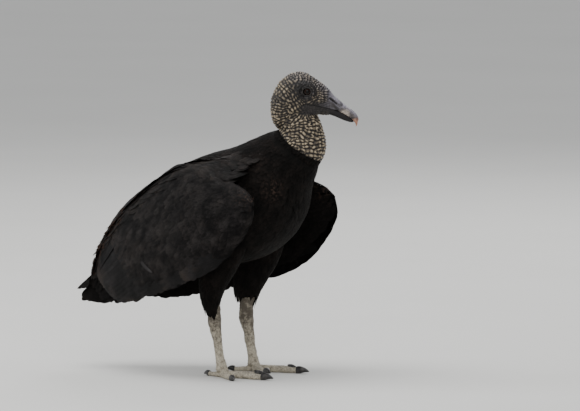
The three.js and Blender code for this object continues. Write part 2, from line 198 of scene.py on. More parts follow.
def along(rows, share):
    """A smooth curve (centripetal Catmull-Rom) through rows of values, straight on past its ends."""
    rows = np.asarray(rows, float)
    place = np.clip(np.asarray(share, float), 0, 1) * (len(rows) - 1)
    first = np.minimum(place.astype(int), len(rows) - 2)
    w = (place - first)[..., None]
    padded = np.vstack([2 * rows[0] - rows[1], rows, 2 * rows[-1] - rows[-2]])
    p0, p1, p2, p3 = (padded[first + k] for k in range(4))
    d0, d1, d2 = (np.sum((b - a) ** 2, -1, keepdims=True) ** 0.25 for a, b in ((p0, p1), (p1, p2), (p2, p3)))
    d1 = np.where(d1 < 1e-4, 1, d1)
    d0, d2 = np.where(d0 < 1e-4, d1, d0), np.where(d2 < 1e-4, d1, d2)
    t1 = ((p1 - p0) / d0 - (p2 - p0) / (d0 + d1) + (p2 - p1) / d1) * d1
    t2 = ((p2 - p1) / d1 - (p3 - p1) / (d1 + d2) + (p3 - p2) / d2) * d1
    past = np.asarray(share, float)[..., None] * (len(rows) - 1) - place[..., None]
    curve = p1 + t1 * w + (-3 * p1 + 3 * p2 - 2 * t1 - t2) * w ** 2 + (2 * p1 - 2 * p2 + t1 + t2) * w ** 3
    return curve + past * np.where(past < 0, t1, t2)


def turned(points, degrees):
    """Points turned about the neck's upright line, each by its own angle."""
    a = np.radians(degrees)
    x, y = points[..., 0] - NECK_AXIS_X, points[..., 1]
    return np.stack([NECK_AXIS_X + x * np.cos(a) - y * np.sin(a), x * np.sin(a) + y * np.cos(a),
                     points[..., 2]], -1)


def around_body(slices, share, angle, grow=0.0):
    """Points on a body drawn through slices, and the middle of each one's ring. Angle 0 is left, 90 up."""
    rows = np.asarray(slices, float)
    share, angle = np.broadcast_arrays(np.asarray(share, float), np.asarray(angle, float))
    top, under = along(rows[:, 0:2], share), along(rows[:, 2:4], share)
    form = along(rows[:, [4, 6, 5]], share)
    half, turn, square = form[..., 0], form[..., 1], form[..., 2]
    middle, up = (top + under) / 2, (top - under) / 2
    length = np.linalg.norm(up, axis=-1, keepdims=True)
    up = up * np.maximum(length + grow, 0.5) / length
    c, s = np.cos(angle), np.sin(angle)
    rise = np.sign(s) * np.abs(s) ** (2 / square)
    points = np.stack([middle[..., 0] + up[..., 0] * rise,
                       np.sign(c) * np.abs(c) ** (2 / square) * np.maximum(half + grow, 0.5),
                       middle[..., 1] + up[..., 1] * rise], -1)
    core = np.stack([middle[..., 0], np.zeros_like(half), middle[..., 1]], -1)
    return turned(points, turn), turned(core, turn)


def on_blade(slices, side, share, across, way, grow=0.0):
    """Points on a wing-like blade and its middle sheet. way 1 is the outer face and -1 the inner one."""
    rows = np.asarray(slices, float)
    share, across, way = np.broadcast_arrays(*(np.asarray(v, float) for v in (share, across, way)))
    top, edge = along(rows[:, 0:3], share), along(rows[:, 3:6], share)
    form = along(rows[:, 6:8], share)
    if side > 0 and slices is WING:  # the left wing hangs lower and closer
        still = share * 0
        edge = edge + np.stack([still, still + LEFT_WING_IN, -LEFT_WING_SAG * np.sin(np.pi * share)], -1)
        top = top + np.stack([still, LEFT_WING_IN * (1 - share), -LEFT_WING_SAG / 4 * (1 - share)], -1)
    ahead = sum(k * (along(rows[:, 0:3], share + k * 0.04) + along(rows[:, 3:6], share + k * 0.04))
                for k in (1, -1))
    out = np.cross(ahead, edge - top)
    out /= np.linalg.norm(out, axis=-1, keepdims=True)
    q = across[..., None]
    thick, bulge = form[..., :1], form[..., 1:2]
    # Thickest a little above its middle, and thin at the hanging edge.
    depth = thick / 2 * np.sqrt(np.maximum(0, 1 - np.abs(2 * q - 0.9) ** 3 / 1.34))
    depth = np.maximum(depth + grow, 0.2)
    core = top * (1 - q) + edge * q + out * bulge * 4 * q * (1 - q)
    flip = np.array([1, -side, 1])
    return (core + out * way[..., None] * depth) * flip, core * flip


def around_limb(slices, side, share, angle, grow=0.0, fluff=0.0):
    """Points on a limb, and its middle line. Angle 0 is ahead and 90 degrees outwards."""
    rows = np.asarray(slices, float)
    share, angle = np.broadcast_arrays(np.asarray(share, float), np.asarray(angle, float))
    middle = along(rows[:, 0:3], share)
    size = along(rows[:, 3:5], share)
    puff = fluff * np.sin(np.pi * share)
    middle = middle + np.stack([puff + RIGHT_LEG_AHEAD * (side < 0), puff * 0, puff * 0], -1)
    points = middle + np.stack([(size[..., 0] + puff + grow) * np.cos(angle),
                                (size[..., 1] + grow) * np.sin(angle), share * 0], -1)
    flip = np.array([1, side, 1])
    return points * flip, middle * flip


# Where the ground point lies in the frame, found from the right eye's place in both.
eye_ahead = turned(np.array([NECK_AXIS_X + EYE_PLACE[0], -EYE_PLACE[1], EYE_PLACE[2]]), HEAD_TURN)
low, high = (np.array(corner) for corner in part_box("eye_right"))
SHIFT = (low + high) / 2 - eye_ahead / 1000
SHIFT[2] = 0.0


def put(points):
    """Points in the frame, in metres."""
    return np.asarray(points, float) / 1000 + SHIFT


def mesh_piece(name, points, faces):
    """An object from points in millimetres and faces: an array of corner numbers, or a list of arrays."""
    groups = faces if isinstance(faces, list) else [faces]
    data = bpy.data.meshes.new(name)
    data.vertices.add(len(points))
    data.vertices.foreach_set("co", put(points).ravel())
    sizes = np.concatenate([np.full(len(group), group.shape[1]) for group in groups])
    data.loops.add(int(sizes.sum()))
    data.loops.foreach_set("vertex_index", np.concatenate([group.ravel() for group in groups]))
    data.polygons.add(len(sizes))
    data.polygons.foreach_set("loop_start", np.concatenate([[0], np.cumsum(sizes)[:-1]]))
    data.polygons.foreach_set("loop_total", sizes)
    data.polygons.foreach_set("use_smooth", np.ones(len(sizes), bool))
    data.update(calc_edges=True)
    data.validate()
    made = bpy.data.objects.new(name, data)
    bpy.context.collection.objects.link(made)
    return made


def closed_rings(rings):
    """Points and faces of a closed skin over rings (rings, around, 3), each end drawn to its middle."""
    count, around = rings.shape[:2]
    points = np.vstack([rings.reshape(-1, 3), rings[0].mean(0), rings[-1].mean(0)])
    ring, k = np.meshgrid(np.arange(count - 1), np.arange(around), indexing="ij")
    a, b = ring * around + k, ring * around + (k + 1) % around
    quads = np.stack([a, b, b + around, a + around], -1).reshape(-1, 4)
    k = np.arange(around)
    last = (count - 1) * around
    ends = np.vstack([np.stack([(k + 1) % around, k, k * 0 + count * around], -1),
                      np.stack([last + k, last + (k + 1) % around, k * 0 + count * around + 1], -1)])
    return points, [quads, ends]


def select_only(piece):
    """Selects a piece alone, for the next tool to work on."""
    bpy.ops.object.select_all(action="DESELECT")
    piece.select_set(True)
    bpy.context.view_layer.objects.active = piece


def operate_on(piece, tool, **settings):
    """Runs one modifier on a piece and applies it."""
    select_only(piece)
    modifier = piece.modifiers.new(tool.lower(), tool)
    for key, value in settings.items():
        setattr(modifier, key, value)
    bpy.ops.object.modifier_apply(modifier=modifier.name)


def face_outwards(piece):
    """Turns every face of a piece outwards."""
    select_only(piece)
    bpy.ops.object.mode_set(mode="EDIT")
    bpy.ops.mesh.select_all(action="SELECT")
    bpy.ops.mesh.normals_make_consistent(inside=False)
    bpy.ops.object.mode_set(mode="OBJECT")


def joined(name, pieces):
    """One object from several."""
    select_only(pieces[0])
    for piece in pieces[1:]:
        piece.select_set(True)
    bpy.ops.object.join()
    pieces[0].name = pieces[0].data.name = name
    return pieces[0]


def points_of(piece):
    """A piece's points in millimetres, and their normals."""
    count = len(piece.data.vertices)
    places, normals = np.empty(count * 3, np.float32), np.empty(count * 3, np.float32)
    piece.data.vertices.foreach_get("co", places)
    piece.data.vertex_normals.foreach_get("vector", normals)
    return (places.reshape(-1, 3).astype(float) - SHIFT) * 1000, normals.reshape(-1, 3).astype(float)


def move_points(piece, points):
    """Puts a piece's points at new places."""
    piece.data.vertices.foreach_set("co", put(points).ravel())
    piece.data.update()


def ring_grid(rings, around):
    """Shares along a form and angles round it, for rings of points."""
    return np.meshgrid(np.linspace(0, 1, rings), np.linspace(0, 2 * np.pi, around, endpoint=False),
                       indexing="ij")


def ring_piece(name, rings):
    """A closed piece over rings of points, with its faces outwards."""
    made = mesh_piece(name, *closed_rings(rings))
    face_outwards(made)
    return made


def body_skin(name, slices, grow, rings, around):
    """Skin over a body drawn through slices, grown by a length or, below 0, drawn in."""
    return ring_piece(name, around_body(slices, *ring_grid(rings, around), grow)[0])


def limb_skin(name, slices, side, grow, rings, around, fluff=0.0):
    """Skin over a limb, grown or drawn in."""
    return ring_piece(name, around_limb(slices, side, *ring_grid(rings, around), grow, fluff)[0])


def search_tree(points):
    """A tree that finds the nearest of many points."""
    tree = KDTree(len(points))
    for i, place in enumerate(points.tolist()):
        tree.insert(place, i)
    tree.balance()
    return tree


# Head and neck: the two forms are grown together and then given their folds.
HEAD_GRAIN = 0.0008  # metres between the points of the folded skin
head_skin = joined("skin_head", [body_skin("skin_head", HEAD, 0, 90, 96),
                                 body_skin("skin_neck", NECK, 0, 60, 80)])
operate_on(head_skin, "REMESH", mode="VOXEL", voxel_size=HEAD_GRAIN)
operate_on(head_skin, "SMOOTH", factor=0.6, iterations=8)


def head_place(points):
    """Places in the head's own frame: ahead of the neck's axis, out from its middle, up from the eyes."""
    a = math.radians(HEAD_TURN)
    x, y = points[:, 0] - NECK_AXIS_X, points[:, 1]
    return x * math.cos(a) + y * math.sin(a), -x * math.sin(a) + y * math.cos(a), points[:, 2] - EYE_PLACE[2]


def spot(ahead, up, place, size):
    """1 at a place on the side of the head, fading out over its size."""
    return np.exp(-((ahead - place[0]) / size[0]) ** 2 - ((up - place[1]) / size[1]) ** 2)


def bump(value, middle, width):
    """1 where a value is at the middle, fading out over a width on both sides."""
    return np.exp(-((value - middle) / width) ** 2)


def ease(value, start, end):
    """0 before start, 1 after end, and smooth between."""
    t = np.clip((value - start) / (end - start), 0, 1)
    return t * t * (3 - 2 * t)


def line_distance(ahead, up, corners):
    """Distance from a broken line on the side of the head."""
    best = np.full(len(ahead), 1e9)
    for (x0, z0), (x1, z1) in zip(corners[:-1], corners[1:]):
        length = (x1 - x0) ** 2 + (z1 - z0) ** 2
        t = np.clip(((ahead - x0) * (x1 - x0) + (up - z0) * (z1 - z0)) / length, 0, 1)
        best = np.minimum(best, np.hypot(ahead - x0 - t * (x1 - x0), up - z0 - t * (z1 - z0)))
    return best


def drift(points, size, seed):
    """A smooth random value, about -1 to 1, that changes over a size in millimetres."""
    waves = np.random.default_rng(seed)
    ways = waves.standard_normal((10, 3)) * 1.6 / size
    return np.sum(np.sin(points @ ways.T + waves.uniform(0, 2 * np.pi, 10)), -1) / 2.6


def row_waves(points, way, pitch, reach, seeds):
    """Phase of rows of folds: waves of a pitch that cross way, forked where their seeds don't meet."""
    cell = 9.0  # millimetres, farther than a seed's waves reach
    keys = np.floor(points / cell).astype(int)
    order = np.lexsort(keys.T[::-1])
    spots, starts = np.unique(keys[order], axis=0, return_index=True)
    stops = np.append(starts[1:], len(order))
    table = {tuple(key): order[a:b] for key, a, b in zip(spots.tolist(), starts, stops)}
    cosines, sines = np.zeros(len(points)), np.zeros(len(points))
    for seed, phase in zip(seeds, rng.uniform(0, 2 * np.pi, len(seeds))):
        x, y, z = keys[seed].tolist()
        cells = ((x + i, y + j, z + k) for i in (-1, 0, 1) for j in (-1, 0, 1) for k in (-1, 0, 1))
        near = np.concatenate([table[key] for key in cells if key in table])
        step = points[near] - points[seed]
        weight = np.exp(-np.sum(step ** 2, -1) / (2 * (reach * pitch[seed]) ** 2))
        wave = phase + 2 * np.pi / pitch[seed] * (step @ way[seed])
        cosines[near] += weight * np.cos(wave)
        sines[near] += weight * np.sin(wave)
    return np.arctan2(sines, cosines)


rng = np.random.default_rng(11)
# The mouth's line from the hook back to the gape, and the nostril's slit: ahead, up from the eye.
MOUTH = ((63, -35), (51.8, -28.2), (42.3, -25.5), (31.5, -22.8), (18, -18.7), (6, -17), (1, -18))
NOSTRIL = ((37.4, -10.2), (43.5, -14.6), (50.5, -20.3))
points, normals = points_of(head_skin)
ahead, out, up = head_place(points)
flank = np.abs(out) / (np.abs(out) + 3)

# Broad forms of the face: how far each stands out, its place ahead of the neck and above the eye, and its
# size.
FACE_FORMS = (
    (1.7, (5, 10.5), (12, 3.4)),  # brow
    (1.5, (15, -0.5), (2.8, 2.6)),  # knob before the eye
    (1.0, (4, -25), (14, 7)),  # jaw
    (-1.0, (25, -3), (7, 5)),  # hollow of the lores
    (-0.7, (22, -15), (12, 4)),  # hollow over the mouth
    (-0.8, (-9, 2), (5, 9)),  # temple
)
MOUTH_DEPTH, NOSTRIL_DEPTH, NOSTRIL_RIM = 1.2, 2.4, 0.6
eye_away = np.hypot((ahead - EYE_PLACE[0]) / 1.06, up)
nostril_away = line_distance(ahead, up, NOSTRIL)
shape = sum(height * spot(ahead, up, place, size) for height, place, size in FACE_FORMS) * flank
shape -= MOUTH_DEPTH * bump(line_distance(ahead, up, MOUTH), 0, 0.8) * flank
shape -= NOSTRIL_DEPTH * bump(nostril_away, 0, 1.0) * flank
shape += NOSTRIL_RIM * bump(nostril_away, 2.4, 1.0) * flank
points = points + normals * shape[:, None]

# Lids: the skin round each eye is drawn in to the ball, with a rim that stands over it.
OPEN_EYE, RIM = 4.7, 5.4
ahead, out, up = head_place(points)
ball = EYE_PLACE[1] + np.sqrt(np.maximum(EYE_RADIUS ** 2 - np.minimum(eye_away, 6.8) ** 2, 0.3))
rim_out = EYE_PLACE[1] + math.sqrt(EYE_RADIUS ** 2 - OPEN_EYE ** 2) + 0.8
rim_out = rim_out + 0.9 * ease(up, 1.0, 4.5) + 0.3 * ease(up, -2, -5)
lid = np.where(eye_away < OPEN_EYE, ball - 1.8, rim_out - 0.6 * ease(eye_away, RIM + 0.6, RIM + 2.4))
lid = lid + 0.45 * bump(eye_away, 9.8, 1.0) - 0.55 * bump(eye_away, 7.9, 0.8)
pull = 1 - ease(eye_away, 7.8, 13)
moved = np.abs(out) + (lid - np.abs(out)) * pull
outwards = np.sign(out) * (moved - np.abs(out)) * (np.abs(out) > 8) * (eye_away < 13)
a = math.radians(HEAD_TURN)
points = points + np.stack([-outwards * math.sin(a), outwards * math.cos(a), outwards * 0], -1)
move_points(head_skin, points)
points, normals = points_of(head_skin)
ahead, out, up = head_place(points)


def collar_border(angle):
    """How far up the neck its feathers reach, as a share of NECK: highest on the nape."""
    return 0.185 + 0.09 * np.sin(angle).clip(0) ** 2 + 0.02 * (-np.sin(angle)).clip(0)


# Where feathers cover the neck its skin lies deeper and plain.
share, angle = (grid.ravel() for grid in np.meshgrid(np.linspace(0, 1, 80), np.linspace(0, 2 * np.pi, 90)))
neck_tree = search_tree(around_body(NECK, share, angle)[0])
nearest = [neck_tree.find(place)[1] for place in points.tolist()]
covered = ease(collar_border(angle[nearest]) - share[nearest], 0.008, 0.035)

# Rows of folds: across the nape and round the neck, spreading from the cheek over the crown, and nearly
# level on the lores. Each row is cut into beads by a second set of waves that crosses it. Lengths are
# millimetres.
FOLD_PITCH, FINEST_PITCH, FOLD_DEPTH, COVERED_DEPTH = 4.3, 2.3, 1.75, 1.5
FOLD_SEEDS, BEAD_SEEDS = 5200, 3600
neck_part = ease(up, -28, -46)
throat_gap = line_distance(ahead, up, ((-2, -24), (20, -24), (46, -22)))
cheek = np.clip(ease(throat_gap, 12, 5.0) * ease(ahead, -12, 10) + ease(ahead, 30, 38), 0, 1) * flank ** 0.5
temple = spot(ahead, up, (-8, 3), (9, 11)) * flank
lores = ease(ahead, 17, 22) * ease(up, 4, -1) * ease(up, -17, -12) * flank
ring = np.clip(1.2 * bump(eye_away, 9.5, 4.0) * flank, 0, 1)
wart = np.clip(spot(ahead, up, (26, 9), (14, 11)) + spot(ahead, up, (-4, 22), (18, 8)), 0, 1) * (1 - lores)
cere = ease(ahead, 33, 44)
slopes = (  # of the rows on the neck, the head, the lores and the ring round the eye, each with its weight
    (np.arctan(-0.02 * (ahead - 5)), neck_part),
    (np.arctan2(up + 26, ahead - 5), (1 - neck_part) * (1 - lores) * (1 - ring)),
    (-0.28 - 0.34 * ease(ahead, 28, 38), lores),
    (np.arctan2(up, ahead - EYE_PLACE[0]) + np.pi / 2, ring * (1 - lores)),
)
slope = np.angle(sum(weight * np.exp(2j * lean) for lean, weight in slopes)) / 2
slope = slope + 0.42 * drift(points, 9, 3) * (1 - lores) * (1 - 0.6 * ring)
across_rows = np.stack([-np.sin(slope) * math.cos(a), -np.sin(slope) * math.sin(a), np.cos(slope)], -1)
across_rows -= normals * np.sum(across_rows * normals, -1, keepdims=True)
across_rows /= np.linalg.norm(across_rows, axis=-1, keepdims=True) + 1e-6
along_rows = np.cross(normals, across_rows)
pitch = np.clip(FOLD_PITCH - 0.8 * wart - 1.3 * ring - 1.1 * lores - 1.2 * cheek - 1.0 * cere,
                FINEST_PITCH, FOLD_PITCH)
pitch = pitch * (1 + 0.14 * drift(points, 7, 4))
seeds = rng.choice(len(points), FOLD_SEEDS, replace=False)
rows = row_waves(points, across_rows, pitch, 0.62, seeds)
bead_pitch = pitch * (1.32 - 0.25 * wart + 0.6 * lores)
beads = row_waves(points, along_rows, bead_pitch, 0.55, seeds[:BEAD_SEEDS])
crest = (0.5 + 0.5 * np.cos(rows)) ** 0.45
gap = (0.5 + 0.5 * np.cos(beads)) ** 0.42
crest = crest * (0.35 + 0.65 * gap) * (1 + 0.2 * drift(points, 3, 5))
depth = (FOLD_DEPTH * (1 - 0.35 * ring) * (1 - 0.25 * lores) * (1 - 0.15 * wart) * (1 - 0.82 * cheek)
         * (1 - 0.6 * temple) * (1 - 0.6 * cere) * ease(eye_away, 5.2, 7.2))
points = points + normals * (depth * (crest - 0.5) * (1 - covered) - COVERED_DEPTH * covered)[:, None]
move_points(head_skin, points)

# What the colours follow: how near a fold's crest each point is, darkened as painted shade in the creases
# and in the mouth's and nostril's slits; how pale; and how cool a grey, more of it on faces turned up as
# painted light.
slits = np.minimum(line_distance(ahead, up, MOUTH), line_distance(ahead, up, NOSTRIL))
head_ridge_and_crease_shade = 1 - (1 - np.clip(crest, 0, 1)) * np.clip(depth / 0.8, 0, 1) - 0.25 * ring - 0.2 * temple
# Darkened along the mouth's line and the nostril's slit: painted shade in them.
head_ridge_and_crease_shade = head_ridge_and_crease_shade * (1 - 0.95 * bump(slits, 0, 0.9) * flank) * (1 - covered)
lower_lid = bump(eye_away, 7.3, 0.8) * ease(up + 0.4 * (ahead - 5), 1.5, -2) * flank
lid_rim = bump(eye_away, 5.0, 1.9) * flank
# Faces turned up take more of the cool grey on the front of the face: painted light from above.
lit_from_above = ease(normals[:, 2], 0.0, 0.7)
knob = spot(ahead, up, (15, -0.5), (2.4, 2.2)) * flank
above_mouth = ease(up + 17.5 + 0.2 * (ahead - 6), -2, 2)
head_pale = 0.55 + 0.45 * ease(up, -14, -62) - 0.8 * cheek - 0.4 * ring - 0.1 * temple - 0.35 * cere
head_pale = np.clip(head_pale + 0.25 * wart - lid_rim + 0.12 * drift(points, 12, 6), 0, 1)
head_cool_grey_and_top_light = np.clip((ease(ahead, 16, 44) * (0.3 + 0.7 * lit_from_above) + 0.25 * drift(points, 4, 10) * cere)
                    * above_mouth + 0.6 * lower_lid + 0.8 * knob + 0.45 * wart - lid_rim, 0, 1)

# Feet: shank and toes grown together, with cross plates over the toes.
LEG_GRAIN = 0.0011  # metres between the points of the scaled skin
TOE_PLATE, SHANK_PLATE = 3.3, 4.2  # millimetres from one cross plate to the next
TOES_MEET, TOE_ROOT = 3.0, 4.0  # where the toes' lines meet, ahead of the heel, and how far out they start
BALL = (180, 18, 11, 1, 0)  # the ball of the foot, as a short toe pointing back
toe_roots = {}


def along_toe(root, way, reach, aside, height):
    """Points along a toe's line: how far out from its root, how far aside, and how high."""
    return np.stack([root[0] + reach * math.cos(way) - aside * math.sin(way),
                     root[1] + reach * math.sin(way) + aside * math.cos(way), height], -1)


def toe_points(side, spec, root, rings, around):
    """Rings of one toe, tapering from its root, with swellings at its joints."""
    degrees, long, thick, pads, _ = spec
    way = math.radians(side * degrees)
    share = np.linspace(0, 1, rings)[:, None]
    half = thick / 2 * (1 - 0.33 * share) * (0.93 + 0.07 * np.cos(2 * np.pi * pads * share))
    half = half * np.sqrt(np.clip(1 - ((share - 0.9) / 0.1).clip(0, 0.97) ** 2, 0, 1))
    height = thick * 0.42 * (1 - 0.25 * share)
    angle = np.linspace(0, 2 * np.pi, around, endpoint=False)[None, :]
    return along_toe(root, way, share * long * 1.03, half * np.cos(angle),
                     np.maximum(height + half * np.sin(angle), 0))


def plate_rows(distance, pitch):
    """Flat plates side by side with narrow grooves between them, half above 0 and half under it."""
    return np.abs(np.sin(np.pi * distance / pitch)) ** 0.5 - 0.5


legs = []
for name, side in SIDES.items():
    pieces = [limb_skin("skin_leg", SHANK, side, 0, 60, 36)]
    further = RIGHT_LEG_AHEAD * (side < 0)
    for toe, spec in TOES.items():
        way = math.radians(side * spec[0])
        root = (TOES_MEET + further + TOE_ROOT * math.cos(way), side * FOOT_APART + TOE_ROOT * math.sin(way))
        toe_roots[name, toe] = (root, way)
        pieces.append(ring_piece("skin_toe", toe_points(side, spec, root, 60, 24)))
    ball_root = (11 + further, side * FOOT_APART)
    pieces.append(ring_piece("skin_ball_of_foot", toe_points(side, BALL, ball_root, 30, 24)))
    leg = joined(f"skin_leg_{name}", pieces)
    operate_on(leg, "REMESH", mode="VOXEL", voxel_size=LEG_GRAIN)
    operate_on(leg, "SMOOTH", factor=0.5, iterations=5)
    points, normals = points_of(leg)
    plates = np.zeros(len(points))
    for toe in TOES:
        root, way = toe_roots[name, toe]
        ahead, out = points[:, 0] - root[0], points[:, 1] - root[1]
        reach = ahead * math.cos(way) + out * math.sin(way)
        aside = np.abs(-ahead * math.sin(way) + out * math.cos(way))
        over = ease(reach, 5, 9) * ease(aside, 6, 4.5) * ease(points[:, 2], 3.0, 5.5) * (points[:, 2] < 13)
        plates = np.where(over > 0.02, 0.5 * over * plate_rows(reach, TOE_PLATE), plates)
    front = ease(normals[:, 0], 0.1, 0.6) * ease(points[:, 2], 14, 18)
    plates = plates + 0.35 * front * plate_rows(points[:, 2], SHANK_PLATE)
    # The left shank shows its broad side, and both are wrinkled lengthways.
    plates = plates + 1.0 * (side > 0) * ease(points[:, 2], 20, 50) * ease(points[:, 2], 110, 85)
    plates = plates + 0.35 * drift(points * (1, 1, 0.3), 2.2, 13) * ease(points[:, 2], 15, 30)
    points = points + normals * (plates + 0.22 * drift(points, 1.5, 8) * ease(points[:, 2], 2, 5))[:, None]
    points[:, 2] = np.maximum(points[:, 2], 0)
    move_points(leg, points)
    legs.append(leg)

# Feathered parts of the skin, drawn in by the depth of the coat over them, in millimetres.
COAT = {"trunk": 5.5, "thigh": 4.0, "wing": 4.5}
share, across = np.meshgrid(np.linspace(0.03, 0.93, 40), np.linspace(0.06, 0.91, 16), indexing="ij")
parts = [body_skin("skin", TRUNK, -COAT["trunk"], 60, 60)]
for side in SIDES.values():
    outer = on_blade(WING, side, share, across, 1, -COAT["wing"])[0]
    inner = on_blade(WING, side, share, across, -1, -COAT["wing"])[0]
    parts.append(ring_piece("skin_wing", np.concatenate([outer, inner[:, ::-1]], 1)))
    fluff = LEFT_THIGH_FLUFF * (side > 0)
    parts.append(limb_skin("skin_thigh", THIGH, side, -COAT["thigh"], 30, 36, fluff))
skin = parts[0]
for part in parts[1:] + legs + [head_skin]:
    operate_on(skin, "BOOLEAN", operation="UNION", object=part, solver="MANIFOLD")
skin.name = skin.data.name = "skin"

# The united skin keeps the folded head's marks, each point those of the head's point that lies under it.
NECK_ABOVE, NECK_AHEAD, SAME_PLACE = 270, 40, 0.5
final_points, _ = points_of(skin)
head_tree = search_tree(points_of(head_skin)[0])
marks = np.zeros((3, len(final_points)))
for i in np.flatnonzero((final_points[:, 2] > NECK_ABOVE) & (final_points[:, 0] > NECK_AHEAD)):
    _, j, gap = head_tree.find(final_points[i])
    if gap < SAME_PLACE:
        marks[:, i] = head_ridge_and_crease_shade[j], head_pale[j], head_cool_grey_and_top_light[j]
for label, values in zip(("ridge", "pale", "cool"), marks):
    skin.data.attributes.new(label, "FLOAT", "POINT").data.foreach_set("value", values)
for part in parts[1:] + legs + [head_skin]:
    bpy.data.objects.remove(part)


# Bare skin, dry and folded: almost black in its creases, which is painted shade, while dust and wear leave
# its crests pale tan on the neck, brown-grey on the nape and lilac grey before the eyes, and the highest
# crests carry a painted highlight. A pattern's scale is 1000 over its millimetres.
def bare_colour(tree):
    place = node(tree, "ShaderNodeTexCoord", output="Object")
    fold, pale, cool = (node(tree, "ShaderNodeAttribute", output="Fac", attribute_name=label)
                        for label in ("ridge", "pale", "cool"))
    blotch = node(tree, "ShaderNodeTexNoise", {"Vector": place, "Scale": 1000 / 6, "Detail": 3.0})
    blotch = node(tree, "ShaderNodeMapRange", {0: blotch, 1: 0.38, 2: 0.68, 4: 0.45})
    crest_colour = node(tree, "ShaderNodeMix", {0: pale, 6: "#282524", 7: "#92836C"}, 2, data_type="RGBA")
    crest_colour = node(tree, "ShaderNodeMix", {0: cool, 6: crest_colour, 7: "#918D97"}, 2, data_type="RGBA")
    crest_colour = node(tree, "ShaderNodeMix", {0: blotch, 6: crest_colour, 7: "#4A4340"}, 2,
                        data_type="RGBA")
    grain = node(tree, "ShaderNodeTexNoise", {"Vector": place, "Scale": 1000 / 1.6, "Detail": 3.0})
    grain = node(tree, "ShaderNodeMapRange", {0: grain, 1: 0.35, 2: 0.65, 3: 0.55, 4: 1.0})
    # Creases get the near-black colour and crests the pale one: painted shade in the creases.
    slope = node(tree, "ShaderNodeMapRange", {0: fold, 1: 0.28, 2: 0.88})
    slope = node(tree, "ShaderNodeMath", {0: slope, 1: grain}, operation="MULTIPLY")
    # The highest crests are lightened further: a painted highlight.
    painted_crest_highlight = node(tree, "ShaderNodeMapRange", {0: fold, 1: 0.70, 2: 1.10, 4: 0.7})
    colour = node(tree, "ShaderNodeMix", {0: slope, 6: "#0F0C0B", 7: crest_colour}, 2, data_type="RGBA")
    painted_crest_highlight = node(tree, "ShaderNodeMath", {0: painted_crest_highlight, 1: pale}, operation="MULTIPLY")
    return node(tree, "ShaderNodeMix", {0: painted_crest_highlight, 6: colour, 7: "#CDBCA0"}, 2, data_type="RGBA")


def bare_lumps(tree):
    place = node(tree, "ShaderNodeTexCoord", output="Object")
    return node(tree, "ShaderNodeTexNoise", {"Vector": place, "Scale": 1000 / 1.1, "Detail": 4.0})


# Hide under the feathers, as dark as they are: painted near black as the shade between them, so that nothing
# pale shows there.
def hide_shade_colour(tree):
    place = node(tree, "ShaderNodeTexCoord", output="Object")
    mottle = node(tree, "ShaderNodeTexNoise", {"Vector": place, "Scale": 1000 / 4})
    return node(tree, "ShaderNodeMix", {0: mottle, 6: "#050404", 7: "#0B0A09"}, 2, data_type="RGBA")


# Leg skin: fine dry scales, chalky grey and nearly white low on the shank, darker about the heel.
LEG_SCALE = 1.4  # millimetres


def leg_colour(tree):
    place = node(tree, "ShaderNodeTexCoord", output="Object")
    seam = node(tree, "ShaderNodeTexVoronoi", {"Vector": place, "Scale": 1000 / LEG_SCALE}, "Distance",
                feature="DISTANCE_TO_EDGE")
    seam = node(tree, "ShaderNodeMapRange", {0: seam, 1: 0.0, 2: 0.16, 3: 0.35, 4: 1.0})
    chalk = node(tree, "ShaderNodeTexNoise",
                 {"Vector": place, "Scale": 1000 / 5, "Detail": 6.0, "Roughness": 0.7})
    height = node(tree, "ShaderNodeSeparateXYZ", {0: place}, 2)
    height = node(tree, "ShaderNodeMapRange", {0: height, 1: 0.03, 2: 0.085, 3: 0.10, 4: -0.16})
    chalk = node(tree, "ShaderNodeMath", {0: chalk, 1: height}, operation="ADD")
    chalk = node(tree, "ShaderNodeMapRange", {0: chalk, 1: 0.36, 2: 0.66})
    scale = node(tree, "ShaderNodeMix", {0: chalk, 6: "#5C5447", 7: "#DAD0BA"}, 2, data_type="RGBA")
    return node(tree, "ShaderNodeMix", {0: seam, 6: "#57504A", 7: scale}, 2, data_type="RGBA")


def leg_lumps(tree):
    place = node(tree, "ShaderNodeTexCoord", output="Object")
    seam = node(tree, "ShaderNodeTexVoronoi", {"Vector": place, "Scale": 1000 / LEG_SCALE}, "Distance",
                feature="DISTANCE_TO_EDGE")
    return node(tree, "ShaderNodeMapRange", {0: seam, 1: 0.0, 2: 0.25})


skin.data.materials.clear()
for material in (finish("dry_folded_bare_skin", bare_colour, 0.5, bare_lumps, 0.6, specular_ior_level=0.3),
                 finish("hide_under_feathers_painted_shade", hide_shade_colour, 0.9, specular_ior_level=0.03),
                 finish("chalky_scaled_leg_skin", leg_colour, 0.7, leg_lumps, 0.6)):
    skin.data.materials.append(material)
count = len(skin.data.polygons)
centres = np.empty(count * 3, np.float32)
skin.data.polygons.foreach_get("center", centres)
centres = (centres.reshape(-1, 3) - SHIFT) * 1000
BARE, HIDE, LEG = 0, 1, 2
BARE_ABOVE, BARE_AHEAD, LEG_UNDER = 282, 58, 100
on_head = (centres[:, 2] > BARE_ABOVE) & (centres[:, 0] > BARE_AHEAD)
zone = np.where(on_head, BARE, np.where(centres[:, 2] < LEG_UNDER, LEG, HIDE))
skin.data.polygons.foreach_set("material_index", zone.astype(np.int32))
skin.data.polygons.foreach_set("use_smooth", np.ones(count, bool))
skin.data.update()
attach(skin, "root")
LIMB_PARTS = ("thigh", "shank", "toe_middle", "toe_inner", "toe_outer", "toe_hind")
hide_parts("trunk", "neck", "head", *(f"{part}_{side}" for side in SIDES for part in LIMB_PARTS))

# ---------- Eyes ----------
# Wet balls set deep in the head: a very dark brown iris round a black pupil, under a clear cornea that
# bulges a little. Only the part between the lids shows, and the rest lies in the skull, held by the skin
# round it.

IRIS, PUPIL, CORNEA = 4.7, 2.5, 0.6  # half widths, and how far the cornea stands out, in millimetres


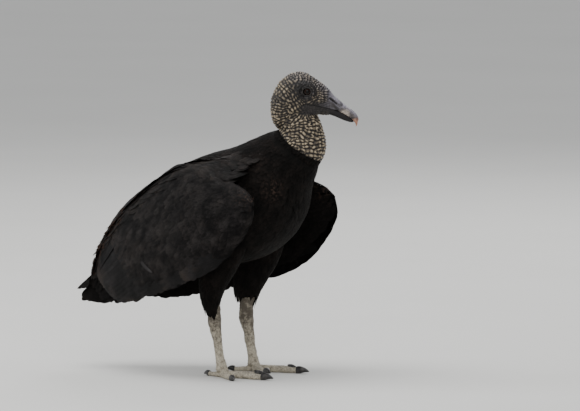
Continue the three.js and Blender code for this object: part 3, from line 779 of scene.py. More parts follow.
# The iris varies only between two browns near black. Its fibres are too fine to show, so they are drawn
# 0.8 mm wide.
def eye_colour(tree, gaze):
    place = node(tree, "ShaderNodeTexCoord", output="Object")
    away = node(tree, "ShaderNodeVectorMath", {0: place, 1: tuple(gaze)}, "Value", operation="DISTANCE")
    fibres = node(tree, "ShaderNodeTexNoise", {"Vector": place, "Scale": 1000 / 0.8, "Detail": 3.0})
    iris = node(tree, "ShaderNodeMix", {0: fibres, 6: "#0E0603", 7: "#27120A"}, 2, data_type="RGBA")
    rim = node(tree, "ShaderNodeMapRange", {0: away, 1: IRIS * 0.00078, 2: IRIS * 0.001})
    pupil = node(tree, "ShaderNodeMapRange", {0: away, 1: PUPIL * 0.0011, 2: PUPIL * 0.0009})
    iris = node(tree, "ShaderNodeMix", {0: rim, 6: iris, 7: "#0A0503"}, 2, data_type="RGBA")
    return node(tree, "ShaderNodeMix", {0: pupil, 6: iris, 7: "#020202"}, 2, data_type="RGBA")


for name, side in SIDES.items():
    middle = turned(np.array([NECK_AXIS_X + EYE_PLACE[0], side * EYE_PLACE[1], EYE_PLACE[2]]), HEAD_TURN)
    gaze = turned(np.array([NECK_AXIS_X + 0.16, side * 0.985, 0.02]), HEAD_TURN) - (NECK_AXIS_X, 0, 0)
    gaze /= np.linalg.norm(gaze)
    bpy.ops.mesh.primitive_uv_sphere_add(segments=48, ring_count=32, radius=EYE_RADIUS / 1000)
    eye = bpy.context.object
    eye.name = eye.data.name = f"eyeball_{name}"
    eye.rotation_euler = Vector(gaze).to_track_quat("Z", "Y").to_euler()
    eye.location = put(middle)
    bpy.ops.object.transform_apply(location=True, rotation=True)
    points, _ = points_of(eye)
    ray = (points - middle) / EYE_RADIUS
    bulge = CORNEA * np.clip((ray @ gaze - 0.72) / 0.28, 0, 1) ** 0.8
    move_points(eye, points + ray * bulge[:, None])
    bpy.ops.object.shade_smooth()
    pole = put(middle + gaze * (EYE_RADIUS + CORNEA))
    # The tear film over a cornea: as smooth as glass, which gives the one small sharp light in the dark eye.
    eye.data.materials.append(finish(f"wet_dark_brown_eye_{name}",
                                     lambda tree, pole=pole: eye_colour(tree, pole),
                                     0.05, ior=1.34, specular_ior_level=0.3))
    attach(eye, "root")
    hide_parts(f"eye_{name}")

# ---------- Bill ----------
# Dead horn over bone in two halves. The upper one hooks down over the lower, and its back end runs under the
# soft skin that holds the nostrils.

RIDGE_RISE, EDGE_RISE = 0.5, 0.25  # how far the ridge and the cutting edge stand out, in millimetres
PALE_SPOT, HOOK_TIP = (161.5, 0, 357.5), (177.0, 0, 340.5)
# Slices from inside the face to the tip: top x, z, under x, z, half width.
BILL_UPPER = (
    (146, 377, 146, 365.5, 6), (153, 374.6, 151, 361.3, 7.6), (158, 371.7, 155, 359.1, 7.9),
    (166, 365.5, 162, 355.7, 7.2), (172.5, 360.5, 167.5, 352.2, 6.3), (177.5, 355, 171.3, 349, 5.1),
    (179.6, 348.5, 174.3, 346.1, 3.4), (179, 343.5, 176.2, 342.7, 1.9), (177.6, 339.9, 176.8, 339.7, 0.7),
)
BILL_LOWER = (
    (136, 365, 136, 358.5, 7), (142, 364, 142, 355.2, 7.4), (149, 362.5, 148.2, 352.9, 7.2),
    (155, 360.5, 154.4, 350.3, 6.4), (162, 357.1, 161.6, 347.3, 5.4), (167.2, 353.1, 167.2, 345.6, 4.2),
    (171, 349.5, 171.2, 345, 2.8), (173.4, 347.5, 173.6, 345.6, 1.2),
)


def bill_horn(name, slices, round_top, rings, around):
    """A half of the bill: one side of each ring is rounded and the other, where the halves meet, is boxy."""
    share, angle = ring_grid(rings, around)
    round_side, boxy_side = (around_body([row + (square, HEAD_TURN) for row in slices], share, angle)[0]
                             for square in (2.0, 3.6))
    rounded = (np.sin(angle) * (1 if round_top else -1) > 0)[..., None]
    return ring_piece(name, np.where(rounded, round_side, boxy_side))


upper_bill = bill_horn("bill_upper_horn", BILL_UPPER, True, 120, 72)
points, normals = points_of(upper_bill)
ahead, out, up = head_place(points)
shape = RIDGE_RISE * bump(np.abs(out), 0, 1.6) * ease(ahead, 50, 56) * (normals[:, 2] > 0)
shape += EDGE_RISE * bump(line_distance(ahead, up, MOUTH), 1.2, 0.9)
shape += 0.15 * drift(points, 4, 9)
move_points(upper_bill, points + normals * shape[:, None])
lower_bill = bill_horn("bill_lower_horn", BILL_LOWER, False, 80, 56)
operate_on(lower_bill, "BOOLEAN", operation="DIFFERENCE", object=upper_bill, solver="MANIFOLD")


# Horn, dry and flaking: lilac grey along the ridge on the faces turned up and dark on the sides, which is
# painted light from above; a paler worn patch by the cutting edge, and a hook where the horn is thin enough
# for a pinkish orange to show.
def bill_colour(tree):
    place = node(tree, "ShaderNodeTexCoord", output="Object")
    from_tip, from_edge = (node(tree, "ShaderNodeVectorMath",
                                {0: place, 1: tuple(put(turned(np.array(middle), HEAD_TURN)))}, "Value",
                                operation="DISTANCE") for middle in (HOOK_TIP, PALE_SPOT))
    flakes = node(tree, "ShaderNodeTexNoise", {"Vector": place, "Scale": 1000 / 2.5, "Detail": 5.0})
    flakes = node(tree, "ShaderNodeMapRange", {0: flakes, 1: 0.35, 2: 0.65})
    flank, horn, pale, hook = (node(tree, "ShaderNodeMix", {0: flakes, 6: low, 7: high}, 2, data_type="RGBA")
                               for low, high in (("#2E2A2B", "#5C5553"), ("#5C5860", "#8E8992"),
                                                 ("#857A72", "#B3A79B"), ("#8E5F4C", "#C08F74")))
    # Faces turned up take the lilac grey and the sides the dark grey: painted light from above.
    lit_from_above = node(tree, "ShaderNodeNewGeometry", output="Normal")
    lit_from_above = node(tree, "ShaderNodeSeparateXYZ", {0: lit_from_above}, 2)
    lit_from_above = node(tree, "ShaderNodeMapRange", {0: lit_from_above, 1: -0.05, 2: 0.6})
    horn = node(tree, "ShaderNodeMix", {0: lit_from_above, 6: flank, 7: horn}, 2, data_type="RGBA")
    paler = node(tree, "ShaderNodeMapRange", {0: from_edge, 1: 0.0098, 2: 0.0080})
    hooked = node(tree, "ShaderNodeMapRange", {0: from_tip, 1: 0.0125, 2: 0.0070})
    horn = node(tree, "ShaderNodeMix", {0: paler, 6: horn, 7: pale}, 2, data_type="RGBA")
    return node(tree, "ShaderNodeMix", {0: hooked, 6: horn, 7: hook}, 2, data_type="RGBA")


def horn_lumps(tree):
    place = node(tree, "ShaderNodeTexCoord", output="Object")
    return node(tree, "ShaderNodeTexNoise", {"Vector": place, "Scale": 1000 / 1.5, "Detail": 4.0})


# The lower half's horn is nearly black and a little duller.
def dark_horn_colour(tree):
    place = node(tree, "ShaderNodeTexCoord", output="Object")
    flakes = node(tree, "ShaderNodeTexNoise", {"Vector": place, "Scale": 1000 / 3, "Detail": 4.0})
    return node(tree, "ShaderNodeMix", {0: flakes, 6: "#0F0E0E", 7: "#232021"}, 2, data_type="RGBA")


upper_bill.data.materials.clear()
upper_bill.data.materials.append(finish("flaking_grey_horn_painted_top_light", bill_colour, 0.42, horn_lumps, 0.25))
lower_bill.data.materials.clear()
lower_bill.data.materials.append(finish("dull_black_horn", dark_horn_colour, 0.55, horn_lumps, 0.25,
                                       specular_ior_level=0.25))
for piece, stands_for in ((upper_bill, "bill_upper"), (lower_bill, "bill_lower")):
    piece.data.polygons.foreach_set("use_smooth", np.ones(len(piece.data.polygons), bool))
    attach(piece, "root")
    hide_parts(stands_for)

# ---------- Claws ----------
# Short, blunt, weakly curved claws of black horn, one grown over the last bone of each toe. Walking wears
# and scratches them grey.


# Claw horn: solid keratin, nearly black, with a low gloss and paler scuffs.
def claw_colour(tree):
    place = node(tree, "ShaderNodeTexCoord", output="Object")
    scuffs = node(tree, "ShaderNodeTexNoise", {"Vector": place, "Scale": 1000 / 4, "Detail": 4.0})
    scuffs = node(tree, "ShaderNodeMapRange", {0: scuffs, 1: 0.4, 2: 0.7})
    return node(tree, "ShaderNodeMix", {0: scuffs, 6: "#1A1817", 7: "#4B4744"}, 2, data_type="RGBA")


CLAW_NARROW = 0.85  # a claw's width against its height
CLAW_CLEAR = 0.02  # millimetres that a claw clears the floor by
claw_horn = finish("scuffed_black_claw_horn", claw_colour, 0.4, horn_lumps, 0.2)
share, angle = ring_grid(20, 20)
for name, side in SIDES.items():
    for toe, (_, long, thick, _, claw) in TOES.items():
        root, way = toe_roots[name, toe]
        reach = long * 0.93 + share * (claw + long * 0.03)
        half = (thick * 0.46 * (1 - share) ** 0.75 + 0.45) * (1 + 0.1 * np.sin(np.pi * share))
        height = thick * 0.36 + 1.8 * np.sin(np.pi * share * 0.75) - 2.2 * share ** 2
        rings = along_toe(root, way, reach, CLAW_NARROW * half * np.cos(angle),
                          np.maximum(height + half * np.sin(angle), CLAW_CLEAR))
        piece = ring_piece(f"horn_claw_{toe}_{name}", rings)
        piece.data.materials.append(claw_horn)
        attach(piece, "root")
        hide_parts(f"claw_{toe}_{name}")

# ---------- Feathers of the body ----------
# Small soft contour feathers that lie along the body like tiles, each one over the root of the next behind
# it, with a collar of shorter ones where they meet the bare neck.


def unit(vectors):
    """Vectors drawn out or in to a length of 1."""
    return vectors / (np.linalg.norm(vectors, axis=-1, keepdims=True) + 1e-9)


def frame_at(form, share, across):
    """How a form's surface runs at places on it: steps per share and per place across, and the way out."""
    tiny = 1e-3
    by_share = (form(share + tiny, across)[0] - form(share - tiny, across)[0]) / (2 * tiny)
    by_across = (form(share, across + tiny)[0] - form(share, across - tiny)[0]) / (2 * tiny)
    point, core = form(share, across)
    normal = unit(np.cross(by_share, by_across))
    inwards = np.sum(normal * (point - core), -1, keepdims=True) < 0
    return point, by_share, by_across, np.where(inwards, -normal, normal)


def steps_for(form, share, across, lie, length):
    """The steps in share and across that a feather of a length takes in a direction."""
    _, by_share, by_across, normal = frame_at(form, share, across)
    lie = unit(lie - normal * np.sum(lie * normal, -1, keepdims=True))
    longways, both, crossways = (np.sum(a * b, -1) for a, b in ((by_share, by_share), (by_share, by_across),
                                                                (by_across, by_across)))
    lie_share, lie_across = np.sum(lie * by_share, -1), np.sum(lie * by_across, -1)
    spread = np.maximum(longways * crossways - both ** 2, 1e-3)
    return ((lie_share * crossways - lie_across * both) / spread * length,
            (lie_across * longways - lie_share * both) / spread * length)


def turned_about(vectors, axes, angles):
    """Vectors turned about axes they are square to."""
    return vectors * np.cos(angles)[..., None] + np.cross(axes, vectors) * np.sin(angles)[..., None]


def walked_back(form, share, across, lie, length, t):
    """Stations of feathers that end at places on a form, found by walking back from their tips, which keeps
    long feathers straight."""
    walk = [(share, across)]
    for part in np.diff(t)[::-1]:
        step_share, step_across = steps_for(form, *walk[-1], lie, length * part)
        walk.append((walk[-1][0] - step_share, (walk[-1][1] - step_across).clip(0.02, 0.98)))
    return (np.stack(line[::-1], 1) for line in zip(*walk))


def laid_out(form, share, across, lie, length, t, within):
    """Stations of feathers rooted at places on a form, their steps scaled until each has its length."""
    step_share, step_across = steps_for(form, share, across, lie, length)
    for _ in range(3):
        if within:
            step_across = np.clip(across + step_across, *within) - across
        path = form(share[:, None] + step_share[:, None] * t, across[:, None] + step_across[:, None] * t)[0]
        found = np.linalg.norm(np.diff(path, axis=1), axis=-1).sum(1)
        scale = np.clip(length / np.maximum(found, 1e-6), 0.3, 3)
        step_share, step_across = step_share * scale, step_across * scale
    return share[:, None] + step_share[:, None] * t, across[:, None] + step_across[:, None] * t


def vane_faces(stations, columns):
    """Faces of one closed vane: an upper sheet, and an under one that has the same rim."""
    grid = stations * columns
    over = np.arange(grid).reshape(stations, columns)
    under = over.copy()
    under[1:-1, 1:-1] = grid + np.arange((stations - 2) * (columns - 2)).reshape(stations - 2, columns - 2)
    sheets = (np.stack([sheet[:-1, :-1], sheet[1:, :-1], sheet[1:, 1:], sheet[:-1, 1:]], -1).reshape(-1, 4)
              for sheet in (over, under))
    return np.concatenate([sheet[:, ::way] for sheet, way in zip(sheets, (1, -1))])


def vanes(form, share, across, lie, length, width, stations=5, columns=3, thick=0.3, deep=3.0, sink=2.0,
          lift=0.2, camber=0.14, roll=0.0, taper=0.5, stem=0.4, quill=0.0, ragged=0.0, from_tip=False,
          within=None):
    """Feathers on a form, each a thin closed vane that lies along its surface.

    Millimetres: length, width, thick, deep (how far the root dives), sink (how far the root lies under
    the form), lift (how far the tip stands over it) and quill. Shares: camber (droop of the edges), taper
    (where the end begins), stem (the root's width), ragged and within (the limits across). roll is in
    radians. A place is a feather's root, or its tip with from_tip."""
    count = len(share)
    length, width, roll, lift, sink, deep = (np.broadcast_to(np.asarray(v, float), count).copy()
                                             for v in (length, width, roll, lift, sink, deep))
    t = 1 - (1 - np.linspace(0, 1, stations)) ** (1.6 if stations < 8 else 1.8)
    if from_tip:
        share, across = walked_back(form, share, across, lie, length, t)
    else:
        share, across = laid_out(form, share, across, lie, length, t, within)
    path, _, _, normal = frame_at(form, share, across)
    ahead = unit(np.gradient(path, axis=1))
    aside = unit(np.cross(normal, ahead))
    normal = np.cross(ahead, aside)
    outline = (stem + (1 - stem) * ease(t, 0, 0.5)) * np.sqrt(
        np.clip(1 - ((t - taper).clip(0) / (1.02 - taper)) ** 2, 0.05, 1))
    half = width[:, None] / 2 * outline
    c = np.linspace(-1, 1, columns)
    reach = half[:, :, None] * np.broadcast_to(c, (count, stations, columns))
    if ragged:
        torn = ragged * rng.random((count, stations, columns)) ** 3 * (np.abs(c) > 0.99) * (t > 0.3)[:, None]
        reach = reach * (1 - torn)
    height = -deep[:, None] * np.clip(1 - t / 0.35, 0, 1) ** 1.5
    height = height - sink[:, None] * (1 - t) + lift[:, None] * t ** 2
    height = height[:, :, None] - camber * np.abs(reach) * np.abs(c)
    height = height + reach * np.tan(roll)[:, None, None]
    top = path[:, :, None] + aside[:, :, None] * reach[..., None] + normal[:, :, None] * height[..., None]
    if ragged:
        frayed = (rng.random((count, 1, columns)) - 0.7) * ragged * width[:, None, None]
        top += ahead[:, :, None] * (frayed * ease(t, 0.5, 1)[:, None])[..., None]
    body = thick * (1 - 0.75 * t)[None, :, None] * (1 - c ** 2)[None, None, :]
    raised = top + normal[:, :, None] * (body / 2 + quill * (np.abs(c) < 0.01) * (1 - t)[:, None])[..., None]
    lowered = (top - normal[:, :, None] * body[..., None] / 2)[:, 1:-1, 1:-1]
    points = np.concatenate([raised.reshape(count, -1, 3), lowered.reshape(count, -1, 3)], 1)
    size = points.shape[1]
    t_map = np.concatenate([np.repeat(t, columns), np.repeat(t[1:-1], columns - 2)])
    c_map = np.concatenate([np.tile(c, stations), np.tile(c[1:-1], stations - 2)])
    spots = np.stack([np.broadcast_to(v[:, None], (count, size)) for v in (share[:, 0], across[:, 0])], -1)
    return {"points": points.reshape(-1, 3),
            "faces": (np.arange(count)[:, None, None] * size + vane_faces(stations, columns)).reshape(-1, 4),
            "spot": spots.reshape(-1, 2), "t": np.tile(t_map, count), "c": np.tile(c_map, count),
            "tone": np.repeat(rng.random(count), size),
            "vane": np.stack([width[:, None] / 2 * c_map, length[:, None] * t_map], -1).reshape(-1, 2)}


PATCH = 0.003  # size of a feather's own patch on the map of the skin
SHARP_EDGE = math.radians(70)
ALONG_ROW = 240  # points that measure the way along a row
UNEVEN = 0.22  # of a gap: how unevenly feathers stand in their rows
# Where feathers are rubbed brown, on both sides: place on the left side, and size.
RUBBED = (((86, 48, 257), 13), ((63, 45, 283), 9), ((17, 50, 286), 9), ((84, 104, 252), 17),
          ((40, 10, 322), 7))


def coat(name, sets, material, nodes):
    """One mesh of many feathers, with its maps: OFBake, and vane, which is millimetres along a feather."""
    offsets = np.cumsum([0] + [len(s["points"]) for s in sets])
    faces = np.concatenate([s["faces"] + offset for s, offset in zip(sets, offsets)])
    data = {key: np.concatenate([s[key] for s in sets]) for key in ("points", "t", "c", "tone", "vane")}
    # Each set of feathers gets its own strip of the map, so that no two of them share a place on it.
    spots = []
    for k, s in enumerate(sets):
        low, high = s["spot"].min(0), s["spot"].max(0)
        place = 0.01 + 0.98 * (s["spot"] - low) / np.maximum(high - low, 1e-6)
        spots.append((place + (k, 0)) / (len(sets), 1))
    spots = np.concatenate(spots) + PATCH * np.stack([data["t"] - 0.5, data["c"] / 2], -1)
    piece = mesh_piece(name, data["points"], faces)
    corners = faces.ravel()
    for label, values in (("OFBake", spots), ("vane", data["vane"])):
        layer = piece.data.uv_layers.new(name=label)
        layer.data.foreach_set("uv", values[corners].astype(np.float32).ravel())
    data["rubbed"] = sum(np.exp(-np.sum((data["points"] * (1, way, 1) - place) ** 2, -1) / size ** 2)
                         for place, size in RUBBED for way in (1, -1)).clip(0, 1)
    for label in ("tone", "t", "c", "rubbed"):
        piece.data.attributes.new(label, "FLOAT", "POINT").data.foreach_set("value", data[label])
    piece.data.set_sharp_from_angle(angle=SHARP_EDGE)
    piece.data.materials.append(material)
    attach(piece, "root")
    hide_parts(*nodes)


def rows_on(form, start, stop, ahead_gap, aside_gap, span=(0, 2 * np.pi)):
    """Places for feathers in rows over a form, each row half a step aside from the last."""
    tiny = 1e-3
    shares, places = [], []
    share, row, way = start, 0, np.sign(stop - start)
    line = np.linspace(*span, ALONG_ROW)
    while (stop - share) * way > 0:
        ring, next_ring = (form(np.full(ALONG_ROW, place), line)[0] for place in (share, share + tiny))
        speed = np.median(np.linalg.norm(next_ring - ring, axis=-1)) / tiny
        arc = np.concatenate([[0], np.cumsum(np.linalg.norm(np.diff(ring, axis=0), axis=-1))])
        gap = aside_gap(share) if callable(aside_gap) else aside_gap
        count = max(3, round(arc[-1] / gap))
        spots = (np.arange(count) + 0.25 + 0.5 * (row % 2) + UNEVEN * (rng.random(count) - 0.5)) / count
        ahead = ahead_gap(share) if callable(ahead_gap) else ahead_gap
        shares.append(share + way * ahead / speed * UNEVEN * (rng.random(count) - 0.5))
        places.append(np.interp(spots * arc[-1], arc, line))
        share += way * ahead / speed
        row += 1
    return np.concatenate(shares), np.concatenate(places)


# Feathers are keratin coloured black all through, a little different from one to the next, streaked along
# their barbs, and paler where their ends are worn. They are also darker towards the root, painted shade
# under the feather over them, and paler along the uncovered end and edges, painted light as well as wear.
def feather_colour(tree, dark, light, worn_and_lit, worn_and_lit_share):
    tone, t, rubbed = (node(tree, "ShaderNodeAttribute", output="Fac", attribute_name=label)
                       for label in ("tone", "t", "rubbed"))
    place = node(tree, "ShaderNodeTexCoord", output="Object")
    patch = node(tree, "ShaderNodeTexNoise", {"Vector": place, "Scale": 1000 / 30, "Detail": 3.0})
    patch = node(tree, "ShaderNodeMapRange", {0: patch, 1: 0.45, 2: 0.75})
    # Paler towards the end and along the edges: wear, and painted light where the feather lies uncovered.
    edge = node(tree, "ShaderNodeAttribute", output="Fac", attribute_name="c")
    edge = node(tree, "ShaderNodeMath", {0: edge}, operation="ABSOLUTE")
    edge = node(tree, "ShaderNodeMath", {0: edge, 1: t}, operation="MULTIPLY")
    end = node(tree, "ShaderNodeMath", {0: t, 1: edge}, operation="MAXIMUM")
    end = node(tree, "ShaderNodeMapRange", {0: end, 1: 0.70, 2: 1.0, 4: worn_and_lit_share})
    wear_and_painted_light = node(tree, "ShaderNodeMath", {0: end, 1: patch}, operation="MULTIPLY")
    vane = node(tree, "ShaderNodeUVMap", uv_map="vane")
    vane = node(tree, "ShaderNodeMapping", {"Vector": vane, "Scale": (1 / 0.9, 1 / 9, 1)})
    other = node(tree, "ShaderNodeMath", {0: tone, 1: 60.0}, operation="MULTIPLY")
    streak = node(tree, "ShaderNodeTexNoise", {"Vector": vane, "W": other, "Scale": 1.0, "Detail": 3.0},
                  noise_dimensions="4D")
    tone = node(tree, "ShaderNodeMath", {0: tone, 1: 0.22, 2: streak}, operation="MULTIPLY_ADD")
    # Darker towards the root: painted shade under the feather that lies over it.
    tone = node(tree, "ShaderNodeMath", {0: t, 1: 0.25, 2: tone}, operation="MULTIPLY_ADD")
    tone = node(tree, "ShaderNodeMapRange", {0: tone, 1: 0.60, 2: 0.98})
    shade = node(tree, "ShaderNodeTexNoise", {"Vector": place, "Scale": 1000 / 16, "Detail": 2.0})
    shade = node(tree, "ShaderNodeMapRange", {0: shade, 1: 0.36, 2: 0.62, 3: 0.05, 4: 1.0})
    tone = node(tree, "ShaderNodeMath", {0: tone, 1: shade}, operation="MULTIPLY")
    base = node(tree, "ShaderNodeMix", {0: tone, 6: dark, 7: light}, 2, data_type="RGBA")
    base = node(tree, "ShaderNodeMix", {0: wear_and_painted_light, 6: base, 7: worn_and_lit}, 2, data_type="RGBA")
    fleck = node(tree, "ShaderNodeTexNoise", {"Vector": place, "Scale": 1000 / 3.5, "Detail": 4.0})
    fleck = node(tree, "ShaderNodeMapRange", {0: fleck, 1: 0.50, 2: 0.70, 4: 0.6})
    rubbed = node(tree, "ShaderNodeMath", {0: fleck, 1: rubbed}, operation="MULTIPLY")
    return node(tree, "ShaderNodeMix", {0: rubbed, 6: base, 7: "#54433A"}, 2, data_type="RGBA")


# Barbs slant out from the quill on both halves of a vane. Real ones lie about 0.4 mm apart, too fine to
# show, so they are drawn twice as coarse.
BARB_GAP = 0.8


def barbs(tree):
    place = node(tree, "ShaderNodeUVMap", uv_map="vane")
    aside, ahead = (node(tree, "ShaderNodeSeparateXYZ", {0: place}, k) for k in (0, 1))
    aside = node(tree, "ShaderNodeMath", {0: aside}, operation="ABSOLUTE")
    slant = node(tree, "ShaderNodeMath", {0: aside, 1: -1.3, 2: ahead}, operation="MULTIPLY_ADD")
    slant = node(tree, "ShaderNodeMath", {0: slant, 1: 2 * math.pi / BARB_GAP}, operation="MULTIPLY")
    return node(tree, "ShaderNodeMath", {0: slant}, operation="SINE")


def plumage(name, dark, light, worn_and_lit, worn_and_lit_share, roughness=0.7, gloss=0.1):
    """A material for feathers: its two blacks, the colour of worn ends, which also stands for painted light
    on them, and how much of them takes it.
    """
    return finish(name, lambda tree: feather_colour(tree, dark, light, worn_and_lit, worn_and_lit_share), roughness, barbs,
                  0.12, 0.5, specular_ior_level=gloss)


# Body feathers: open, downy keratin that drinks the light, so the breast reads as the darkest part.
body_black = plumage("soft_black_contour_feathers", "#080706", "#1A1614", "#2A221E", 0.5, 0.7, 0.07)


def trunk_form(share, angle):
    """The trunk's surface."""
    return around_body(TRUNK, share, angle)


def down_the_body(form, share, across, wander=0.1):
    """The lie of the coat: straight back along a form, wandering a little."""
    _, by_share, _, normal = frame_at(form, share, across)
    return turned_about(unit(-by_share), normal, wander * rng.standard_normal(len(share)))


# Lengths and gaps of the feathers are millimetres here and below.
BODY_FEATHER, COLLAR_FEATHER = (22, 9.5), (9, 4)  # length, width
share, angle = rows_on(trunk_form, 1.0, 0.0, lambda s: 4.6 - 1.4 * ease(s, 0.8, 1),
                       lambda s: 4.8 - 1.2 * ease(s, 0.8, 1))
PARTS_OF_COAT = {"feathers_breast": (0.66, 1.01), "feathers_mantle_and_belly": (0.38, 0.66),
                 "feathers_back_and_rump": (-0.01, 0.38)}
for name, (start, stop) in PARTS_OF_COAT.items():
    chosen = (share > start) & (share <= stop)
    near_neck = 1 - 0.35 * ease(share[chosen], 0.8, 1.0)
    picked = vanes(trunk_form, share[chosen], angle[chosen],
                   down_the_body(trunk_form, share[chosen], angle[chosen]), BODY_FEATHER[0] * near_neck,
                   BODY_FEATHER[1] * near_neck, deep=3.2, sink=2.0, ragged=0.3,
                   roll=0.07 * rng.standard_normal(chosen.sum()))
    coat(name, [picked], body_black, ["trunk"])


def neck_form(share, angle):
    """The neck's surface."""
    return around_body(NECK, share, angle)


share, angle = rows_on(neck_form, 0.31, -0.04, 2.7, 3.1)
border = collar_border(angle) + 0.008 * rng.standard_normal(len(share))
share, angle, border = (values[share < border + 0.022] for values in (share, angle, border))
near_border = ease(border - share, -0.02, 0.06)
collar = vanes(neck_form, share, angle, down_the_body(neck_form, share, angle, 0.16),
               COLLAR_FEATHER[0] + 7 * near_border, COLLAR_FEATHER[1] + 2.5 * near_border, deep=1.6,
               sink=0.9, lift=0.5, ragged=0.4, roll=0.1 * rng.standard_normal(len(share)))
coat("feathers_collar", [collar], body_black, ["neck", "trunk"])

# ---------- Feathers of the thighs ----------
# Soft feathers that hang down round each thigh and end in a ragged edge over the top of the bare shank,
# lower on its outer side. The left thigh's stand out a little more.

for name, side in SIDES.items():
    fluff = LEFT_THIGH_FLUFF * (side > 0)

    def thigh_form(share, angle):
        """The thigh's surface."""
        return around_limb(THIGH, side, share, angle, 0, fluff)

    share, angle = rows_on(thigh_form, 0.0, 1.0, 4.2, 4.4)
    last = 0.62 + 0.17 * ease(np.sin(angle), -0.1, 0.5) + 0.02 * rng.standard_normal(len(share))
    share, angle = share[share < last], angle[share < last]
    lie = -down_the_body(thigh_form, share, angle, 0.12)
    low_down = ease(share, 0.3, 0.6)
    hanging = vanes(thigh_form, share, angle, lie, 20 - 4 * low_down, 8 - 2 * low_down, deep=2.0, sink=1.8,
                    ragged=0.4, roll=0.08 * rng.standard_normal(len(share)), taper=0.3)
    coat(f"feathers_thigh_{name}", [hanging], body_black, [f"thigh_{name}"])

# ---------- Wings ----------
# Folded wings: small coverts over the arm, larger ones behind them, then the long flight feathers whose ends
# lie over one another like the slats of a fan, and the long shoulder feathers over the upper border.

# Slices of the bundle of primaries under each wing's end, as WING's.
PRIMARIES = (
    (-120, -31, 205, -75, -62, 150, 3, 2), (-160, -23, 172, -118, -50, 124, 3, 2),
    (-195, -19, 141, -158, -40, 103, 2.6, 1.5), (-220, -18, 112, -196, -32, 91, 2.2, 1),
    (-232, -20, 97, -221, -26, 89, 1.6, 0.3),
)
# Coverts: closer and greyer than the breast, so the wing reads a shade lighter. Feathers under the wing, in
# the bundle of primaries and in the tail are duller, and their blacks darker and nearly even: painted shade,
# as they lie out of the light. Flight feathers are firm, smooth keratin with a low gloss, browner where they
# are worn, and the broad shoulder feathers are much like them.
wing_black = plumage("grey_black_wing_coverts", "#090808", "#2A2726", "#3A3431", 0.5, 0.6, 0.06)
shaded_under_black = plumage("dull_black_underwing_feathers_painted_shade", "#0A0908", "#151211", "#241F1C", 0.4, 0.7, 0.04)
flight_black = plumage("firm_black_flight_feathers", "#0A0909", "#242121", "#403630", 0.7, 0.55, 0.1)
shoulder_black = plumage("broad_black_shoulder_feathers", "#0A0908", "#26211F", "#38312C", 0.7, 0.55, 0.09)
# Old feather ends are bleached a dull reddish brown by the sun, and the underside of a covert is pale grey.
fringe_brown = plumage("sun_browned_feather_ends", "#16110E", "#3A2A22", "#4F3B30", 0.8)
bent_grey = plumage("pale_grey_feather_underside", "#2A2828", "#383636", "#403D3C", 0.5)
WING_LIE = np.array([-0.82, -0.36, -0.43])  # the way folded feathers point, for the left wing
COVERT = {"stations": 8, "columns": 5, "thick": 0.5}
LONG_FEATHER = {"stations": 18, "columns": 7, "thick": 0.8, "stem": 0.6, "quill": 0.35, "from_tip": True}
# How many: along each border, round the wrist, on the arm, on the hand, innermost, longest, and in the
# fringe.
BORDER, AT_WRIST, ARM, HAND, INNERMOST, LONGEST, FRINGE = 110, 10, 14, 10, 8, 6, 300


def wing_lie(form, backwards, share, across, wander=0.06):
    """Feathers of a wing lie back and down, but follow its borders near them."""
    _, by_share, _, normal = frame_at(form, share, across)
    front = ease(across, 0.55, 0.95) * ease(share, 0.62, 0.45) * 0.75
    border = front + ease(across, 0.6, 0.0) * ease(share, 0.4, 0.7) + ease(share, 0.22, 0.05)
    border += ease(across, 0.4, 0.05) * ease(share, 0.6, 0.4)
    border = np.clip(border, 0, 1)[:, None]
    lie = unit(backwards[None, :] * (1 - border) + unit(by_share) * border)
    return turned_about(lie, normal, wander * rng.standard_normal(len(share)))


